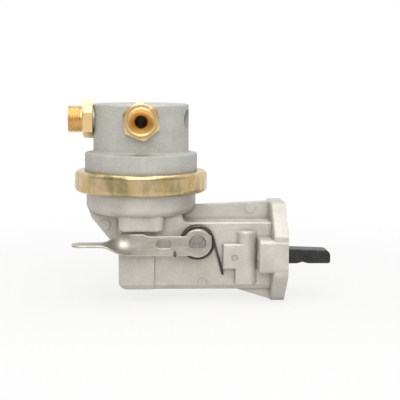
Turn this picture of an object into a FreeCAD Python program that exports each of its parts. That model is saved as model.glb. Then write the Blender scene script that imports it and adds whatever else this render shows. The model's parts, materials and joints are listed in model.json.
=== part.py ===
import FreeCAD, Part
import math
import os
import Sketcher
from FreeCAD import Placement, Rotation, Vector

# Mechanical diaphragm fuel feed pump, in millimetres.
# The origin is the centre of the flange's mating face, on the line of the two bolts.
# +X points out of the flange towards the engine, and +Z points up along the pump's axis.

DRIVING_SIZES = [
    # Pump axis and fits
    ("axis_reach", 94.0, "mating face to the pump's axis"),
    ("running_gap", 0.05, "radial play of a shaft in its hole"),
    ("side_play", 0.2, "play beside a piece that swings"),
    ("seat_gap", 0.1, "play between pieces that rest on each other"),
    # Joint between the two castings
    ("joint_height", 45.4, "lower casting's diaphragm face above the bolts"),
    ("diaphragm_thickness", 1.0, "rubber-coated fabric"),
    ("rim_thickness", 4.9, "each casting's clamped rim"),
    ("ring_thickness", 1.5, "clamp ring's sheet"),
    ("ring_gap", 0.3, "rims to the ring's wall"),
    ("ring_round", 2.9, "clamp ring's outer edges"),
    # Upper casting
    ("cover_radius", 31.2, "upper casting's round wall"),
    ("step_width", 5.6, "step below the round wall"),
    ("rim_width", 4.8, "clamped rim outside the step"),
    ("step_height", 18.0, "joint to the top of the step"),
    ("cover_height", 31.8, "step to the top"),
    ("cover_edge", 1.4, "rounded top edge"),
    ("step_edge", 1.0, "rounded edge of the step"),
    ("step_root", 2.0, "fillet between the step and the wall"),
    ("chamber_wall", 8.0, "rim's outer edge to the pumping chamber"),
    ("chamber_depth", 11.6, "pumping chamber above the joint"),
    ("chamber_slope", 6.0, "slanted corner of the chamber"),
    ("side_recess_radius", 7.0, "blind round recess in the wall"),
    ("side_recess_depth", 4.2, "its depth"),
    ("side_recess_turn", 15.0, "its angle in front of the side"),
    # Unions
    ("fitting_drop", 10.2, "top of the casting to the unions' axis"),
    ("spot_depth", 1.3, "spot face below the round wall"),
    ("washer_thickness", 1.5, "sealing washer"),
    ("washer_radius", 8.6, "sealing washer"),
    ("hex_across_flats", 22.0, "union hexagon"),
    ("hex_thickness", 6.6, "union hexagon"),
    ("hex_turn_front", 38.0, "turn of the front hexagon"),
    ("hex_turn_side", 51.0, "turn of the side hexagon"),
    ("neck_length", 1.1, "relief between hexagon and thread"),
    ("neck_radius", 8.0, "relief between hexagon and thread"),
    ("thread_radius", 9.0, "union thread"),
    ("thread_length", 8.3, "union thread"),
    ("thread_chamfer", 0.9, "thread's first turn"),
    ("cone_radius", 7.4, "mouth of the union's cone seat"),
    ("cone_depth", 4.6, "cone seat"),
    ("fuel_bore_radius", 3.95, "union bore"),
    ("stub_radius", 7.0, "screwed end in the casting"),
    ("stub_length", 6.4, "screwed end in the casting"),
    ("stub_relief", 0.6, "tapped hole past the screwed end"),
    ("hex_bevel", 0.5, "bevel inside the flats"),
    # Valves
    ("valve_offset", 14.0, "valve's axis from the pump's axis"),
    ("valve_radius", 8.0, "valve seat insert"),
    ("valve_seat_thickness", 3.0, "valve seat insert"),
    ("outlet_seat_rise", 5.0, "chamber's roof to the outlet's seat"),
    ("inlet_seat_rise", 10.5, "chamber's roof to the inlet's seat"),
    ("valve_port_radius", 1.3, "port in the seat"),
    ("valve_port_circle", 4.4, "ports' centres"),
    ("valve_port_count", 6.0, "ports in a seat"),
    ("valve_post_radius", 1.5, "guide post"),
    ("valve_post_length", 8.0, "guide post, seat to its head"),
    ("valve_head_radius", 3.4, "guide post's head"),
    ("valve_head_thickness", 1.0, "guide post's head"),
    ("valve_disc_radius", 6.6, "valve disc"),
    ("valve_disc_thickness", 1.2, "valve disc"),
    ("valve_spring_radius", 2.7, "mean radius"),
    ("valve_spring_wire", 0.5, "wire diameter"),
    ("valve_spring_turns", 4.0, "turns"),
    ("valve_room", 3.0, "valve pocket above the union's bore"),
    # Diaphragm stack
    ("plate_radius", 24.0, "both plates"),
    ("plate_upper_thickness", 1.2, "sheet"),
    ("plate_lower_thickness", 1.6, "sheet"),
    ("plate_lip", 2.0, "turned edge of a plate"),
    ("fold_margin", 1.6, "plate or wall to the diaphragm's fold"),
    ("fold_depth", 2.4, "diaphragm's fold"),
    ("rod_radius", 3.6, "pull rod"),
    ("rod_neck_radius", 2.8, "pull rod through the plates"),
    ("rod_head_radius", 5.4, "riveted head"),
    ("rod_head_thickness", 2.2, "riveted head"),
    ("rod_tail", 5.0, "pull rod below its cross pin"),
    ("rod_bevel", 0.8, "bevels of the pull rod"),
    ("cross_pin_proud", 0.6, "cross pin beyond the link"),
    ("cross_pin_radius", 2.0, "pin through the pull rod"),
    ("diaphragm_spring_radius", 15.0, "mean radius"),
    ("diaphragm_spring_wire", 1.8, "wire diameter"),
    ("diaphragm_spring_turns", 4.0, "turns"),
    ("seal_radius", 7.2, "rod seal"),
    ("seal_thickness", 3.0, "rod seal"),
    ("retainer_sheet", 0.8, "rod seal's cap"),
    ("retainer_reach", 3.5, "cap's skirt down the guide"),
    # Lower casting: bowl and neck
    ("bowl_inset", 5.7, "rim's edge to the bowl's wall"),
    ("bowl_wall", 3.5, "bowl's wall"),
    ("bowl_depth", 14.9, "joint to the bottom of the round wall"),
    ("bowl_corner", 6.0, "bowl's lower corner"),
    ("bowl_flat", 15.0, "pump's axis to the sloped underside"),
    ("bowl_rise", 6.0, "rise of the sloped underside"),
    ("floor_radius", 21.0, "bowl's level floor"),
    ("ledge_start", 26.2, "pump's axis to the ledge"),
    ("ledge_root", 3.0, "rounded start of the ledge"),
    ("bowl_floor", 4.2, "floor above the housing's top"),
    ("guide_radius", 8.6, "rod guide"),
    ("guide_height", 4.4, "rod guide above the bowl's floor"),
    ("neck_half", 14.5, "pump's axis to the left side of the boss under the bowl"),
    ("neck_clear", 21.6, "primer shaft to the boss's right side"),
    ("neck_front", 30.0, "boss front"),
    ("neck_bottom", 15.3, "boss underside above the bolts"),
    ("neck_round", 4.2, "boss upright edges"),
    ("neck_edge", 2.2, "boss lower edges"),
    # Lower casting: housing
    ("housing_half", 20.0, "half the housing's width"),
    ("housing_top", 20.5, "housing's top above the bolts"),
    ("housing_bottom", 23.9, "housing's underside below the bolts"),
    ("housing_wall", 4.5, "housing's walls"),
    ("housing_chamfer", 3.4, "lower long edges"),
    ("leg_clear", 27.7, "primer shaft to the leg's right side"),
    ("leg_proud", 1.4, "leg in front of the wall"),
    ("leg_round", 6.0, "leg's lower corner"),
    ("cast_edge", 1.2, "rounded edges of the casting"),
    ("side_web_half", 10.0, "half the web under the bowl's side"),
    ("side_web_reach", 17.7, "web's bend beyond the housing's end"),
    ("side_web_drop", 8.2, "web's bend below the round wall"),
    ("web_half", 2.6, "half the long webs' thickness"),
    ("web_rise", 8.7, "long web above the housing at the bowl"),
    ("eject_radius", 3.4, "ejector mark"),
    ("eject_proud", 0.5, "ejector mark"),
    ("long_mark_setback", 21.8, "long web's mark behind the mating face"),
    ("gusset_length", 23.0, "lower gusset"),
    # Lower casting: flange
    ("flange_thickness", 9.5, "flange"),
    ("flange_half_height", 32.4, "flange"),
    ("flange_half_top", 14.0, "half its width at top and bottom"),
    ("flange_half_width", 34.5, "half its width at the bolts"),
    ("flange_shoulder", 2.6, "flange's full width beyond the bolt bosses"),
    ("flange_round", 4.0, "flange corners"),
    ("flange_edge", 1.6, "flange's rounded back edge"),
    ("ear_round", 3.0, "corners of the bolt bosses"),
    ("ear_proud", 0.5, "bolt bosses out of the flange's side"),
    ("ear_depth", 18.8, "bolt bosses"),
    ("ear_half_height", 10.7, "bolt bosses"),
    ("bolt_spacing", 52.0, "between the two bolts"),
    ("bolt_hole_radius", 4.25, "bolt holes"),
    ("mouth_half", 11.0, "half the arm's opening"),
    ("mouth_top", 10.5, "arm's opening above the bolts"),
    ("mouth_bottom", 14.5, "arm's opening below the bolts"),
    ("mouth_round", 3.0, "corners of the arm's opening"),
    # Rocker arm, pin and link
    ("pin_setback", 33.5, "rocker pin behind the mating face"),
    ("pin_drop", 2.2, "rocker pin below the bolts"),
    ("pin_radius", 3.5, "rocker pin"),
    ("pin_cover", 2.2, "metal in front of the pin"),
    ("pin_boss_radius", 7.5, "bosses round the pin"),
    ("stake_radius", 2.1, "staking mark"),
    ("stake_depth", 0.9, "staking mark"),
    ("arm_half", 6.7, "half the arm's width"),
    ("arm_reach", 31.9, "arm in front of the mating face"),
    ("arm_top", 0.8, "arm's top at the mating face"),
    ("arm_depth", 10.0, "arm at the mating face"),
    ("arm_hub_radius", 7.0, "arm's hub"),
    ("arm_nose_drop", 1.2, "the arm's top falls away to its nose"),
    ("arm_nose", 4.0, "rounded upper corner of the arm's end"),
    ("arm_edge", 0.8, "arm's edges"),
    ("cam_pad_length", 14.9, "flat pad on the cam"),
    ("cam_waist", 1.0, "relief behind the cam pad"),
    ("toe_reach", 17.0, "arm's toe behind the pin"),
    ("toe_thickness", 4.6, "arm's toe"),
    ("link_sheet", 2.0, "link's sheet"),
    ("link_hub_radius", 6.4, "link round the pin"),
    ("link_end_radius", 5.0, "link round the cross pin"),
    ("link_slot_travel", 0.6, "cross pin's play along the slot"),
    ("link_web_length", 18.0, "link's web"),
    ("link_primer_gap", 0.5, "link below the primer shaft's circle"),
    ("arm_spring_setback", 25.6, "return spring behind the mating face"),
    ("arm_spring_radius", 4.4, "mean radius"),
    ("arm_spring_wire", 1.4, "wire diameter"),
    ("arm_spring_turns", 5.0, "turns"),
    ("arm_spring_seat", 3.4, "spring's seat on the arm above the bolts"),
    ("arm_spring_pocket", 2.0, "spring pocket in the housing's roof"),
    # Stepped boss on the front wall
    ("block_left", 41.2, "block behind the mating face"),
    ("block_top", 6.8, "block above the bolts"),
    ("block_bottom", 9.7, "block below the bolts"),
    ("block_proud", 4.3, "block in front of the wall"),
    ("column_radius", 7.3, "round column"),
    ("column_top", 15.0, "round column above the bolts"),
    ("column_bottom", 19.6, "round column below the bolts"),
    ("column_edge", 1.8, "rounded top of the column"),
    ("arch_radius", 3.2, "arched mark"),
    ("arch_setback", 54.3, "arched mark behind the mating face"),
    # Hand primer
    ("primer_setback", 57.9, "primer shaft behind the mating face"),
    ("primer_height", 8.0, "primer shaft above the bolts"),
    ("primer_shaft_radius", 5.2, "primer shaft"),
    ("primer_flat", 2.6, "flat below the shaft's centre"),
    ("primer_boss_radius", 9.2, "boss on the front wall"),
    ("primer_boss_length", 8.0, "boss in front of the wall"),
    ("shaft_proud", 0.8, "primer shaft out of the lever"),
    ("primer_rear_boss", 1.2, "boss behind the rear wall"),
    ("primer_inner_boss", 8.6, "bosses inside the walls"),
    ("seal_setback", 2.6, "O-ring behind the boss's face"),
    ("seal_wire", 1.7, "O-ring section"),
    ("clip_thickness", 1.0, "retaining ring"),
    ("clip_radius", 7.6, "retaining ring"),
    ("clip_bite", 0.9, "groove in the shaft"),
    ("shaft_end", 1.4, "shaft beyond the retaining ring"),
    ("hook_notch", 0.8, "notch for the spring's hook"),
    ("lever_sheet", 1.5, "lever's sheet"),
    ("lever_eye_radius", 9.0, "lever's eye"),
    ("lever_width", 12.6, "lever's strip"),
    ("lever_wide", 14.0, "lever's wider part"),
    ("lever_wide_start", 31.6, "shaft to the wider part"),
    ("lever_taper", 3.1, "slope to the wider part"),
    ("lever_low", 7.9, "lever's lower edge below the shaft"),
    ("lever_twist_start", 40.1, "shaft to the twist"),
    ("lever_twist_length", 20.0, "twist"),
    ("lever_pad_length", 20.1, "thumb pad"),
    ("lever_pad_width", 14.0, "thumb pad"),
    ("lever_slot_offset", 21.6, "shaft to the slot's centre"),
    ("lever_slot_length", 10.0, "slot"),
    ("lever_slot_width", 6.0, "slot"),
    ("lever_tab_side", 8.8, "eye's square corner"),
    ("lever_tab_top", 4.7, "top of the square corner"),
    ("torsion_radius", 10.6, "mean radius"),
    ("torsion_wire", 1.5, "wire diameter"),
    ("torsion_pitch", 1.75, "from turn to turn"),
    ("torsion_leg_over", 4.0, "long leg past the block's corner"),
    ("torsion_hook_reach", 14.5, "hook left of the shaft"),
    ("torsion_hook_top", 3.0, "hook's end above the bolts"),
    ("torsion_bend", 1.6, "bends of the hook"),
]


class Size:
    """A size with its present value and the sheet formula that gives it."""

    def __init__(self, value, text):
        self.value = value
        self.text = text

    def __add__(self, other):
        other = as_size(other)
        return Size(self.value + other.value, f"({self.text} + {other.text})")

    def __sub__(self, other):
        other = as_size(other)
        return Size(self.value - other.value, f"({self.text} - {other.text})")

    def __mul__(self, other):
        other = as_size(other)
        return Size(self.value * other.value, f"({self.text} * {other.text})")

    def __truediv__(self, other):
        other = as_size(other)
        return Size(self.value / other.value, f"({self.text} / {other.text})")

    def __neg__(self):
        return Size(-self.value, f"(0 - {self.text})")

    def __radd__(self, other):
        return as_size(other) + self

    def __rsub__(self, other):
        return as_size(other) - self

    def __rmul__(self, other):
        return as_size(other) * self


def as_size(number):
    """Gives a Size for a plain number, or the Size itself."""
    if isinstance(number, Size):
        return number
    return Size(float(number), repr(float(number)))


def sine(angle):
    """Gives the sine of an angle in degrees."""
    angle = as_size(angle)
    return Size(math.sin(math.radians(angle.value)), f"sin({angle.text})")


def cosine(angle):
    """Gives the cosine of an angle in degrees."""
    angle = as_size(angle)
    return Size(math.cos(math.radians(angle.value)), f"cos({angle.text})")


def tangent(angle):
    """Gives the tangent of an angle in degrees."""
    angle = as_size(angle)
    return Size(math.tan(math.radians(angle.value)), f"tan({angle.text})")


HEX_HALF_ANGLE = 30
TWIST_STATIONS = 6
TORSION_TURNS = 2

doc = FreeCAD.newDocument("fuel_feed_pump")
sheet = doc.addObject("Spreadsheet::Sheet", "Dims")
for row, (alias, value, note) in enumerate(DRIVING_SIZES, start=1):
    sheet.set(f"A{row}", alias)
    sheet.set(f"B{row}", str(value))
    sheet.set(f"C{row}", note)
    sheet.setAlias(f"B{row}", alias)
doc.recompute()


class Sizes:
    """Reads the sheet: sizes.wall is the cell with the alias wall."""

    def __getattr__(self, alias):
        return Size(float(sheet.get(alias)), f"Dims.{alias}")


dim = Sizes()
parts = []


# Drawing helpers

def add_body(label):
    """Starts one piece."""
    body = doc.addObject("PartDesign::Body", label)
    body.Label = label
    parts.append(body)
    return body


def add_feature(label, shape, where, rotation=Rotation()):
    """Adds one piece whose shape is made directly about its own origin."""
    piece = doc.addObject("Part::Feature", label)
    piece.Label = label
    piece.Shape = shape
    piece.Placement = Placement(Vector(*[as_size(amount).value for amount in where]), rotation)
    parts.append(piece)
    return piece


def origin_plane(body, role):
    """Finds an origin plane of the piece by its role."""
    return [feature for feature in body.Origin.OriginFeatures if feature.Role == role][0]


def add_sketch(body, role, shift):
    """Puts a sketch on an origin plane, moved by shift along the sketch's own axes."""
    sketch = body.newObject("Sketcher::SketchObject", f"{body.Label}_sketch")
    sketch.AttachmentSupport = (origin_plane(body, role), [""])
    sketch.MapMode = "FlatFace"
    for axis, amount in zip("xyz", shift):
        sketch.setExpression(f"AttachmentOffset.Base.{axis}", as_size(amount).text)
    return sketch


def hold(sketch, kind, *where, size):
    """Adds one dimension that follows the sheet."""
    size = as_size(size)
    index = sketch.addConstraint(Sketcher.Constraint(kind, *where, size.value))
    sketch.setExpression(f"Constraints[{index}]", size.text)


def polygon(body, role, points, shift=(0, 0, 0)):
    """Draws a closed outline through points of sheet sizes."""
    sketch = add_sketch(body, role, shift)
    points = [(as_size(across), as_size(up)) for across, up in points]
    corners = [Vector(across.value, up.value, 0) for across, up in points]
    for index, corner in enumerate(corners):
        sketch.addGeometry(Part.LineSegment(corner, corners[(index + 1) % len(corners)]))
    for index, (across, up) in enumerate(points):
        sketch.addConstraint(Sketcher.Constraint("Coincident", index - 1 if index else len(points) - 1, 2, index, 1))
        hold(sketch, "DistanceX", -1, 1, index, 1, size=across)
        hold(sketch, "DistanceY", -1, 1, index, 1, size=up)
    return sketch


def circle(body, role, radius, centre=(0, 0), shift=(0, 0, 0)):
    """Draws a circle."""
    return circles(body, role, [(radius, centre)], shift)


def circles(body, role, rings, shift=(0, 0, 0)):
    """Draws circles given as radius and centre."""
    sketch = add_sketch(body, role, shift)
    for index, (radius, centre) in enumerate(rings):
        across, up = as_size(centre[0]), as_size(centre[1])
        place = Vector(across.value, up.value, 0)
        sketch.addGeometry(Part.Circle(place, Vector(0, 0, 1), as_size(radius).value))
        hold(sketch, "Radius", index, size=radius)
        hold(sketch, "DistanceX", -1, 1, index, 3, size=across)
        hold(sketch, "DistanceY", -1, 1, index, 3, size=up)
    return sketch


def slot(body, role, radius, travel, centre, shift=(0, 0, 0)):
    """Draws a slot along the sketch's first axis, its end arcs travel to each side of the centre."""
    sketch = add_sketch(body, role, shift)
    radius, travel = as_size(radius), as_size(travel)
    across, up = as_size(centre[0]), as_size(centre[1])
    normal = Vector(0, 0, 1)
    left = Vector((across - travel).value, up.value, 0)
    right = Vector((across + travel).value, up.value, 0)
    rise = Vector(0, radius.value, 0)
    quarter = math.pi / 2
    sketch.addGeometry(Part.ArcOfCircle(Part.Circle(left, normal, radius.value), quarter, 3 * quarter))
    sketch.addGeometry(Part.ArcOfCircle(Part.Circle(right, normal, radius.value), -quarter, quarter))
    sketch.addGeometry(Part.LineSegment(left - rise, right - rise))
    sketch.addGeometry(Part.LineSegment(right + rise, left + rise))
    sketch.addConstraint(Sketcher.Constraint("Tangent", 0, 2, 2, 1))
    sketch.addConstraint(Sketcher.Constraint("Tangent", 2, 2, 1, 1))
    sketch.addConstraint(Sketcher.Constraint("Tangent", 1, 2, 3, 1))
    sketch.addConstraint(Sketcher.Constraint("Tangent", 3, 2, 0, 1))
    hold(sketch, "Radius", 0, size=radius)
    hold(sketch, "DistanceX", -1, 1, 0, 3, size=across - travel)
    hold(sketch, "DistanceY", -1, 1, 0, 3, size=up)
    hold(sketch, "DistanceX", -1, 1, 1, 3, size=across + travel)
    hold(sketch, "DistanceY", -1, 1, 1, 3, size=up)
    return sketch


def round_corner(sketch, line, radius):
    """Rounds the corner at the end of a sketch's line, and keeps the corner where it was."""
    sketch.fillet(line, 2, as_size(radius).value, True, True)
    arc = [index for index, shape in enumerate(sketch.Geometry) if isinstance(shape, Part.ArcOfCircle)][-1]
    hold(sketch, "Radius", arc, size=radius)


def rounded_box(body, role, low, high, radius, shift=(0, 0, 0)):
    """Draws a box between two corners with all four corners rounded."""
    sketch = add_sketch(body, role, shift)
    radius = as_size(radius)
    left, bottom = as_size(low[0]) + radius, as_size(low[1]) + radius
    right, top = as_size(high[0]) - radius, as_size(high[1]) - radius
    centres = [(right, top), (left, top), (left, bottom), (right, bottom)]
    quarter = math.pi / 2
    normal = Vector(0, 0, 1)
    for index, (across, up) in enumerate(centres):
        ring = Part.Circle(Vector(across.value, up.value, 0), normal, radius.value)
        sketch.addGeometry(Part.ArcOfCircle(ring, index * quarter, (index + 1) * quarter))
    for index in range(4):
        following = (index + 1) % 4
        sketch.addGeometry(Part.LineSegment(
            sketch.Geometry[index].EndPoint, sketch.Geometry[following].StartPoint
        ))
        sketch.addConstraint(Sketcher.Constraint("Tangent", index, 2, 4 + index, 1))
        sketch.addConstraint(Sketcher.Constraint("Tangent", 4 + index, 2, following, 1))
    for index, (across, up) in enumerate(centres):
        hold(sketch, "DistanceX", -1, 1, index, 3, size=across)
        hold(sketch, "DistanceY", -1, 1, index, 3, size=up)
    hold(sketch, "Radius", 0, size=radius)
    return sketch


def pad(body, sketch, length, midplane=False, reverse=False):
    """Thickens an outline. With midplane, half of the length lies on each side."""
    return run_straight(body, "PartDesign::Pad", sketch, length, midplane, reverse)


def pocket(body, sketch, length, midplane=False, reverse=False):
    """Cuts an outline away and checks that metal went."""
    before = solid_volume(body)
    feature = run_straight(body, "PartDesign::Pocket", sketch, length, midplane, reverse)
    check_cut(body, before)
    return feature


def run_straight(body, kind, sketch, length, midplane, reverse):
    """Makes a pad or pocket of a sketch."""
    feature = body.newObject(kind, f"{body.Label}_{kind.split('::')[1].lower()}")
    feature.Profile = (sketch, [""])
    feature.setExpression("Length", as_size(length).text)
    if midplane:
        feature.SideType = "Symmetric"
    feature.Reversed = reverse
    doc.recompute()
    check_whole(body)
    return feature


def solid_volume(body):
    """Gives the piece's present volume."""
    return body.Tip.Shape.Volume


def check_whole(body):
    """Stops where a step leaves the piece broken or in more than one solid."""
    shape = body.Tip.Shape
    if len(shape.Solids) != 1 or not shape.isValid():
        raise RuntimeError(f"{body.Label} is broken at {body.Tip.Name}: {len(shape.Solids)} solids")


def check_cut(body, before):
    """Stops where a cut took nothing away."""
    if solid_volume(body) > before - 1e-4:
        raise RuntimeError(f"a cut of {body.Label} removes nothing")


def revolve(body, sketch, axis, cut=False):
    """Turns a sketch about its own axis, to add or to cut."""
    before = solid_volume(body) if cut else 0.0
    kind = "PartDesign::Groove" if cut else "PartDesign::Revolution"
    feature = body.newObject(kind, f"{body.Label}_turned")
    feature.Profile = (sketch, [""])
    feature.ReferenceAxis = (sketch, [axis])
    feature.Angle = 360.0
    doc.recompute()
    check_whole(body)
    if cut:
        check_cut(body, before)
    return feature


def edges_like(body, test):
    """Names the piece's edges that pass a test."""
    shape = body.Tip.Shape
    return [f"Edge{index}" for index, edge in enumerate(shape.Edges, start=1) if test(edge)]


def near(first, second, tolerance=0.02):
    """True where two numbers are the same size."""
    return abs(first - as_size(second).value) < tolerance


def ring_at(height, radius):
    """Test for a level circle at a height."""
    def test(edge):
        curve = edge.Curve
        if not isinstance(curve, Part.Circle) or abs(curve.Axis.z) < 0.99:
            return False
        return near(curve.Center.z, height) and near(curve.Radius, radius)
    return test


def edge_at(axis, place):
    """Test for any edge that lies flat at one place along an axis."""
    def test(edge):
        box = edge.BoundBox
        low, high = getattr(box, f"{axis.upper()}Min"), getattr(box, f"{axis.upper()}Max")
        return near(low, place) and near(high, place)
    return test


def line_at(axis, **where):
    """Test for a straight edge along an axis through given coordinates."""
    direction = {"x": Vector(1, 0, 0), "y": Vector(0, 1, 0), "z": Vector(0, 0, 1)}[axis]

    def test(edge):
        if not isinstance(edge.Curve, Part.Line):
            return False
        if abs(edge.Curve.Direction.dot(direction)) < 0.999:
            return False
        middle = edge.CenterOfMass
        return all(near(getattr(middle, name), place) for name, place in where.items())
    return test


def soften(body, tests, radius, bevel=False):
    """Rounds or bevels the edges that pass any of the tests."""
    names = edges_like(body, lambda edge: any(test(edge) for test in tests))
    if not names:
        raise RuntimeError(f"{body.Label} has no edge to soften")
    kind = "PartDesign::Chamfer" if bevel else "PartDesign::Fillet"
    feature = body.newObject(kind, f"{body.Label}_edge")
    feature.Base = (body.Tip if body.Tip != feature else feature.BaseFeature, names)
    feature.setExpression("Size" if bevel else "Radius", as_size(radius).text)
    doc.recompute()
    check_whole(body)
    return feature


def coil_path(radius, pitch, turns, start=0.0, low=0.0):
    """Gives arcs that follow a helix about the Z axis, four to a turn."""
    count = math.ceil(turns * 4)
    points = []
    for index in range(count * 2 + 1):
        turn = start + 2 * math.pi * turns * index / (count * 2)
        rise = pitch * turns * index / (count * 2)
        points.append(Vector(radius * math.cos(turn), radius * math.sin(turn), low + rise))
    return [Part.Arc(*points[index:index + 3]).toShape() for index in range(0, count * 2, 2)]


def coil(radius, wire, turns, low, high):
    """Gives a compression spring about the Z axis, its wire inside two levels."""
    radius, wire, turns = radius.value, wire.value, turns.value
    low, high = as_size(low).value, as_size(high).value
    edges = coil_path(radius, (high - low - wire) / turns, turns, 0.0, low + wire / 2)
    start = edges[0].valueAt(edges[0].FirstParameter)
    heading = edges[0].tangentAt(edges[0].FirstParameter)
    section = Part.Wire(Part.makeCircle(wire / 2, start, heading))
    return Part.Wire(edges).makePipeShell([section], True, True)


# Levels and places shared by several pieces

AXIS_X = -dim.axis_reach
RIM_RADIUS = dim.cover_radius + dim.step_width + dim.rim_width
STEP_RADIUS = dim.cover_radius + dim.step_width
UPPER_JOINT = dim.joint_height + dim.diaphragm_thickness
RIM_TOP = UPPER_JOINT + dim.rim_thickness
STEP_TOP = UPPER_JOINT + dim.step_height
COVER_TOP = STEP_TOP + dim.cover_height
FITTING_Z = COVER_TOP - dim.fitting_drop
CHAMBER_ROOF = UPPER_JOINT + dim.chamber_depth
CHAMBER_RADIUS = RIM_RADIUS - dim.chamber_wall
SPOT_REACH = dim.cover_radius - dim.spot_depth
HEX_REACH = SPOT_REACH + dim.washer_thickness
OUTLET_SEAT = CHAMBER_ROOF + dim.outlet_seat_rise
INLET_SEAT = CHAMBER_ROOF + dim.inlet_seat_rise
RIM_BOTTOM = dim.joint_height - dim.rim_thickness
BOWL_RADIUS = RIM_RADIUS - dim.bowl_inset
BOWL_LOW = dim.joint_height - dim.bowl_depth
FLOOR_Z = dim.housing_top + dim.bowl_floor
GUIDE_TOP = FLOOR_Z + dim.guide_height
PIN_X = -dim.pin_setback
PIN_Z = -dim.pin_drop
PRIMER_X = -dim.primer_setback
CAVITY_HALF = dim.housing_half - dim.housing_wall
CAVITY_TOP = dim.housing_top - dim.housing_wall
CAVITY_LOW = dim.housing_wall - dim.housing_bottom
HOUSING_LEFT = AXIS_X - dim.neck_half
NECK_RIGHT = PRIMER_X - dim.neck_clear
LEG_RIGHT = PRIMER_X - dim.leg_clear
LEDGE_X = AXIS_X + dim.ledge_start
BOWL_CORNER = dim.housing_top + dim.bowl_rise
CAVITY_LEFT = HOUSING_LEFT + dim.housing_wall
LINK_INNER = dim.arm_half + dim.side_play
LINK_OUTER = LINK_INNER + dim.link_sheet
BOSS_INNER = LINK_OUTER + dim.side_play
BLOCK_FRONT = dim.housing_half + dim.block_proud
BOSS_FRONT = dim.housing_half + dim.primer_boss_length
LEVER_BACK = BOSS_FRONT + dim.seat_gap
LEVER_FRONT = LEVER_BACK + dim.lever_sheet
PLATE_LOW = dim.joint_height - dim.plate_lower_thickness
LINK_TOP = dim.primer_height - dim.primer_shaft_radius - dim.link_primer_gap
LINK_WEB_TOP = PIN_Z - dim.link_hub_radius + dim.link_sheet
SEAL_Y = BOSS_FRONT - dim.seal_setback
SEAL_MEAN = dim.primer_shaft_radius + dim.running_gap + dim.seal_wire / 2
SEAL_GROOVE = SEAL_MEAN + dim.seal_wire / 2 + dim.running_gap
CLIP_Y = dim.housing_half + dim.primer_rear_boss + dim.seat_gap
SHAFT_REAR = CLIP_Y + dim.clip_thickness + dim.shaft_end


# Upper casting

def make_upper_body():
    body = add_body("upper_body")
    wall = polygon(body, "XZ_Plane", [
        (0, CHAMBER_ROOF),
        (CHAMBER_RADIUS - dim.chamber_slope, CHAMBER_ROOF),
        (CHAMBER_RADIUS, CHAMBER_ROOF - dim.chamber_slope),
        (CHAMBER_RADIUS, UPPER_JOINT),
        (RIM_RADIUS, UPPER_JOINT),
        (RIM_RADIUS, RIM_TOP),
        (STEP_RADIUS, RIM_TOP),
        (STEP_RADIUS, STEP_TOP),
        (dim.cover_radius, STEP_TOP),
        (dim.cover_radius, COVER_TOP),
        (0, COVER_TOP),
    ], shift=(AXIS_X, 0, 0))
    revolve(body, wall, "V_Axis")
    soften(body, [ring_at(COVER_TOP, dim.cover_radius)], dim.cover_edge)
    soften(body, [ring_at(STEP_TOP, STEP_RADIUS)], dim.step_edge)
    soften(body, [ring_at(STEP_TOP, dim.cover_radius)], dim.step_root)
    pocket_height = FITTING_Z + dim.fuel_bore_radius + dim.valve_room - CHAMBER_ROOF
    valve_pockets = circles(body, "XY_Plane", [
        (dim.valve_radius, (AXIS_X - dim.valve_offset, 0)),
        (dim.valve_radius, (AXIS_X, -dim.valve_offset)),
    ], shift=(0, 0, CHAMBER_ROOF))
    pocket(body, valve_pockets, pocket_height, reverse=True)
    for role, across, seat in (
        ("XZ_Plane", AXIS_X, SPOT_REACH),
        ("YZ_Plane", as_size(0), AXIS_X - SPOT_REACH),
    ):
        inward = role == "YZ_Plane"
        centre = (across, FITTING_Z)
        spot = circle(body, role, dim.washer_radius + dim.seat_gap, centre, (0, 0, seat))
        pocket(body, spot, dim.spot_depth * 2, reverse=not inward)
        tapped = circle(body, role, dim.stub_radius, centre, (0, 0, seat))
        pocket(body, tapped, dim.stub_length + dim.stub_relief, reverse=inward)
        passage = circle(body, role, dim.fuel_bore_radius, centre, (0, 0, seat))
        pocket(body, passage, SPOT_REACH - dim.valve_offset, reverse=inward)
    turn = -dim.side_recess_turn
    recess = circle(body, "YZ_Plane", dim.side_recess_radius)
    recess.AttachmentOffset = Placement(Vector(), Rotation(Vector(0, 1, 0), turn.value))
    recess.setExpression("AttachmentOffset.Base.x", (dim.cover_radius * sine(turn)).text)
    recess.setExpression("AttachmentOffset.Base.y", FITTING_Z.text)
    recess.setExpression("AttachmentOffset.Base.z", (AXIS_X + dim.cover_radius * cosine(turn)).text)
    recess.setExpression("AttachmentOffset.Rotation.Angle", turn.text)
    pocket(body, recess, dim.side_recess_depth)


# Unions and their washers, made about +Z from the hexagon's seat and turned into place

def turned_out(front):
    """Gives the turn that points +Z out of the front or out of the left side."""
    return Rotation(Vector(1, 0, 0), 90) if front else Rotation(Vector(0, 1, 0), -90)


def place(piece, rotation, where):
    """Turns a piece and moves it to sheet coordinates."""
    piece.Placement = Placement(Vector(), rotation)
    for axis, amount in zip("xyz", where):
        piece.setExpression(f"Placement.Base.{axis}", as_size(amount).text)


def union_seat(front):
    """Gives the centre of a union's hexagon seat."""
    if front:
        return (AXIS_X, -HEX_REACH, FITTING_Z)
    return (AXIS_X - HEX_REACH, 0, FITTING_Z)


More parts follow.
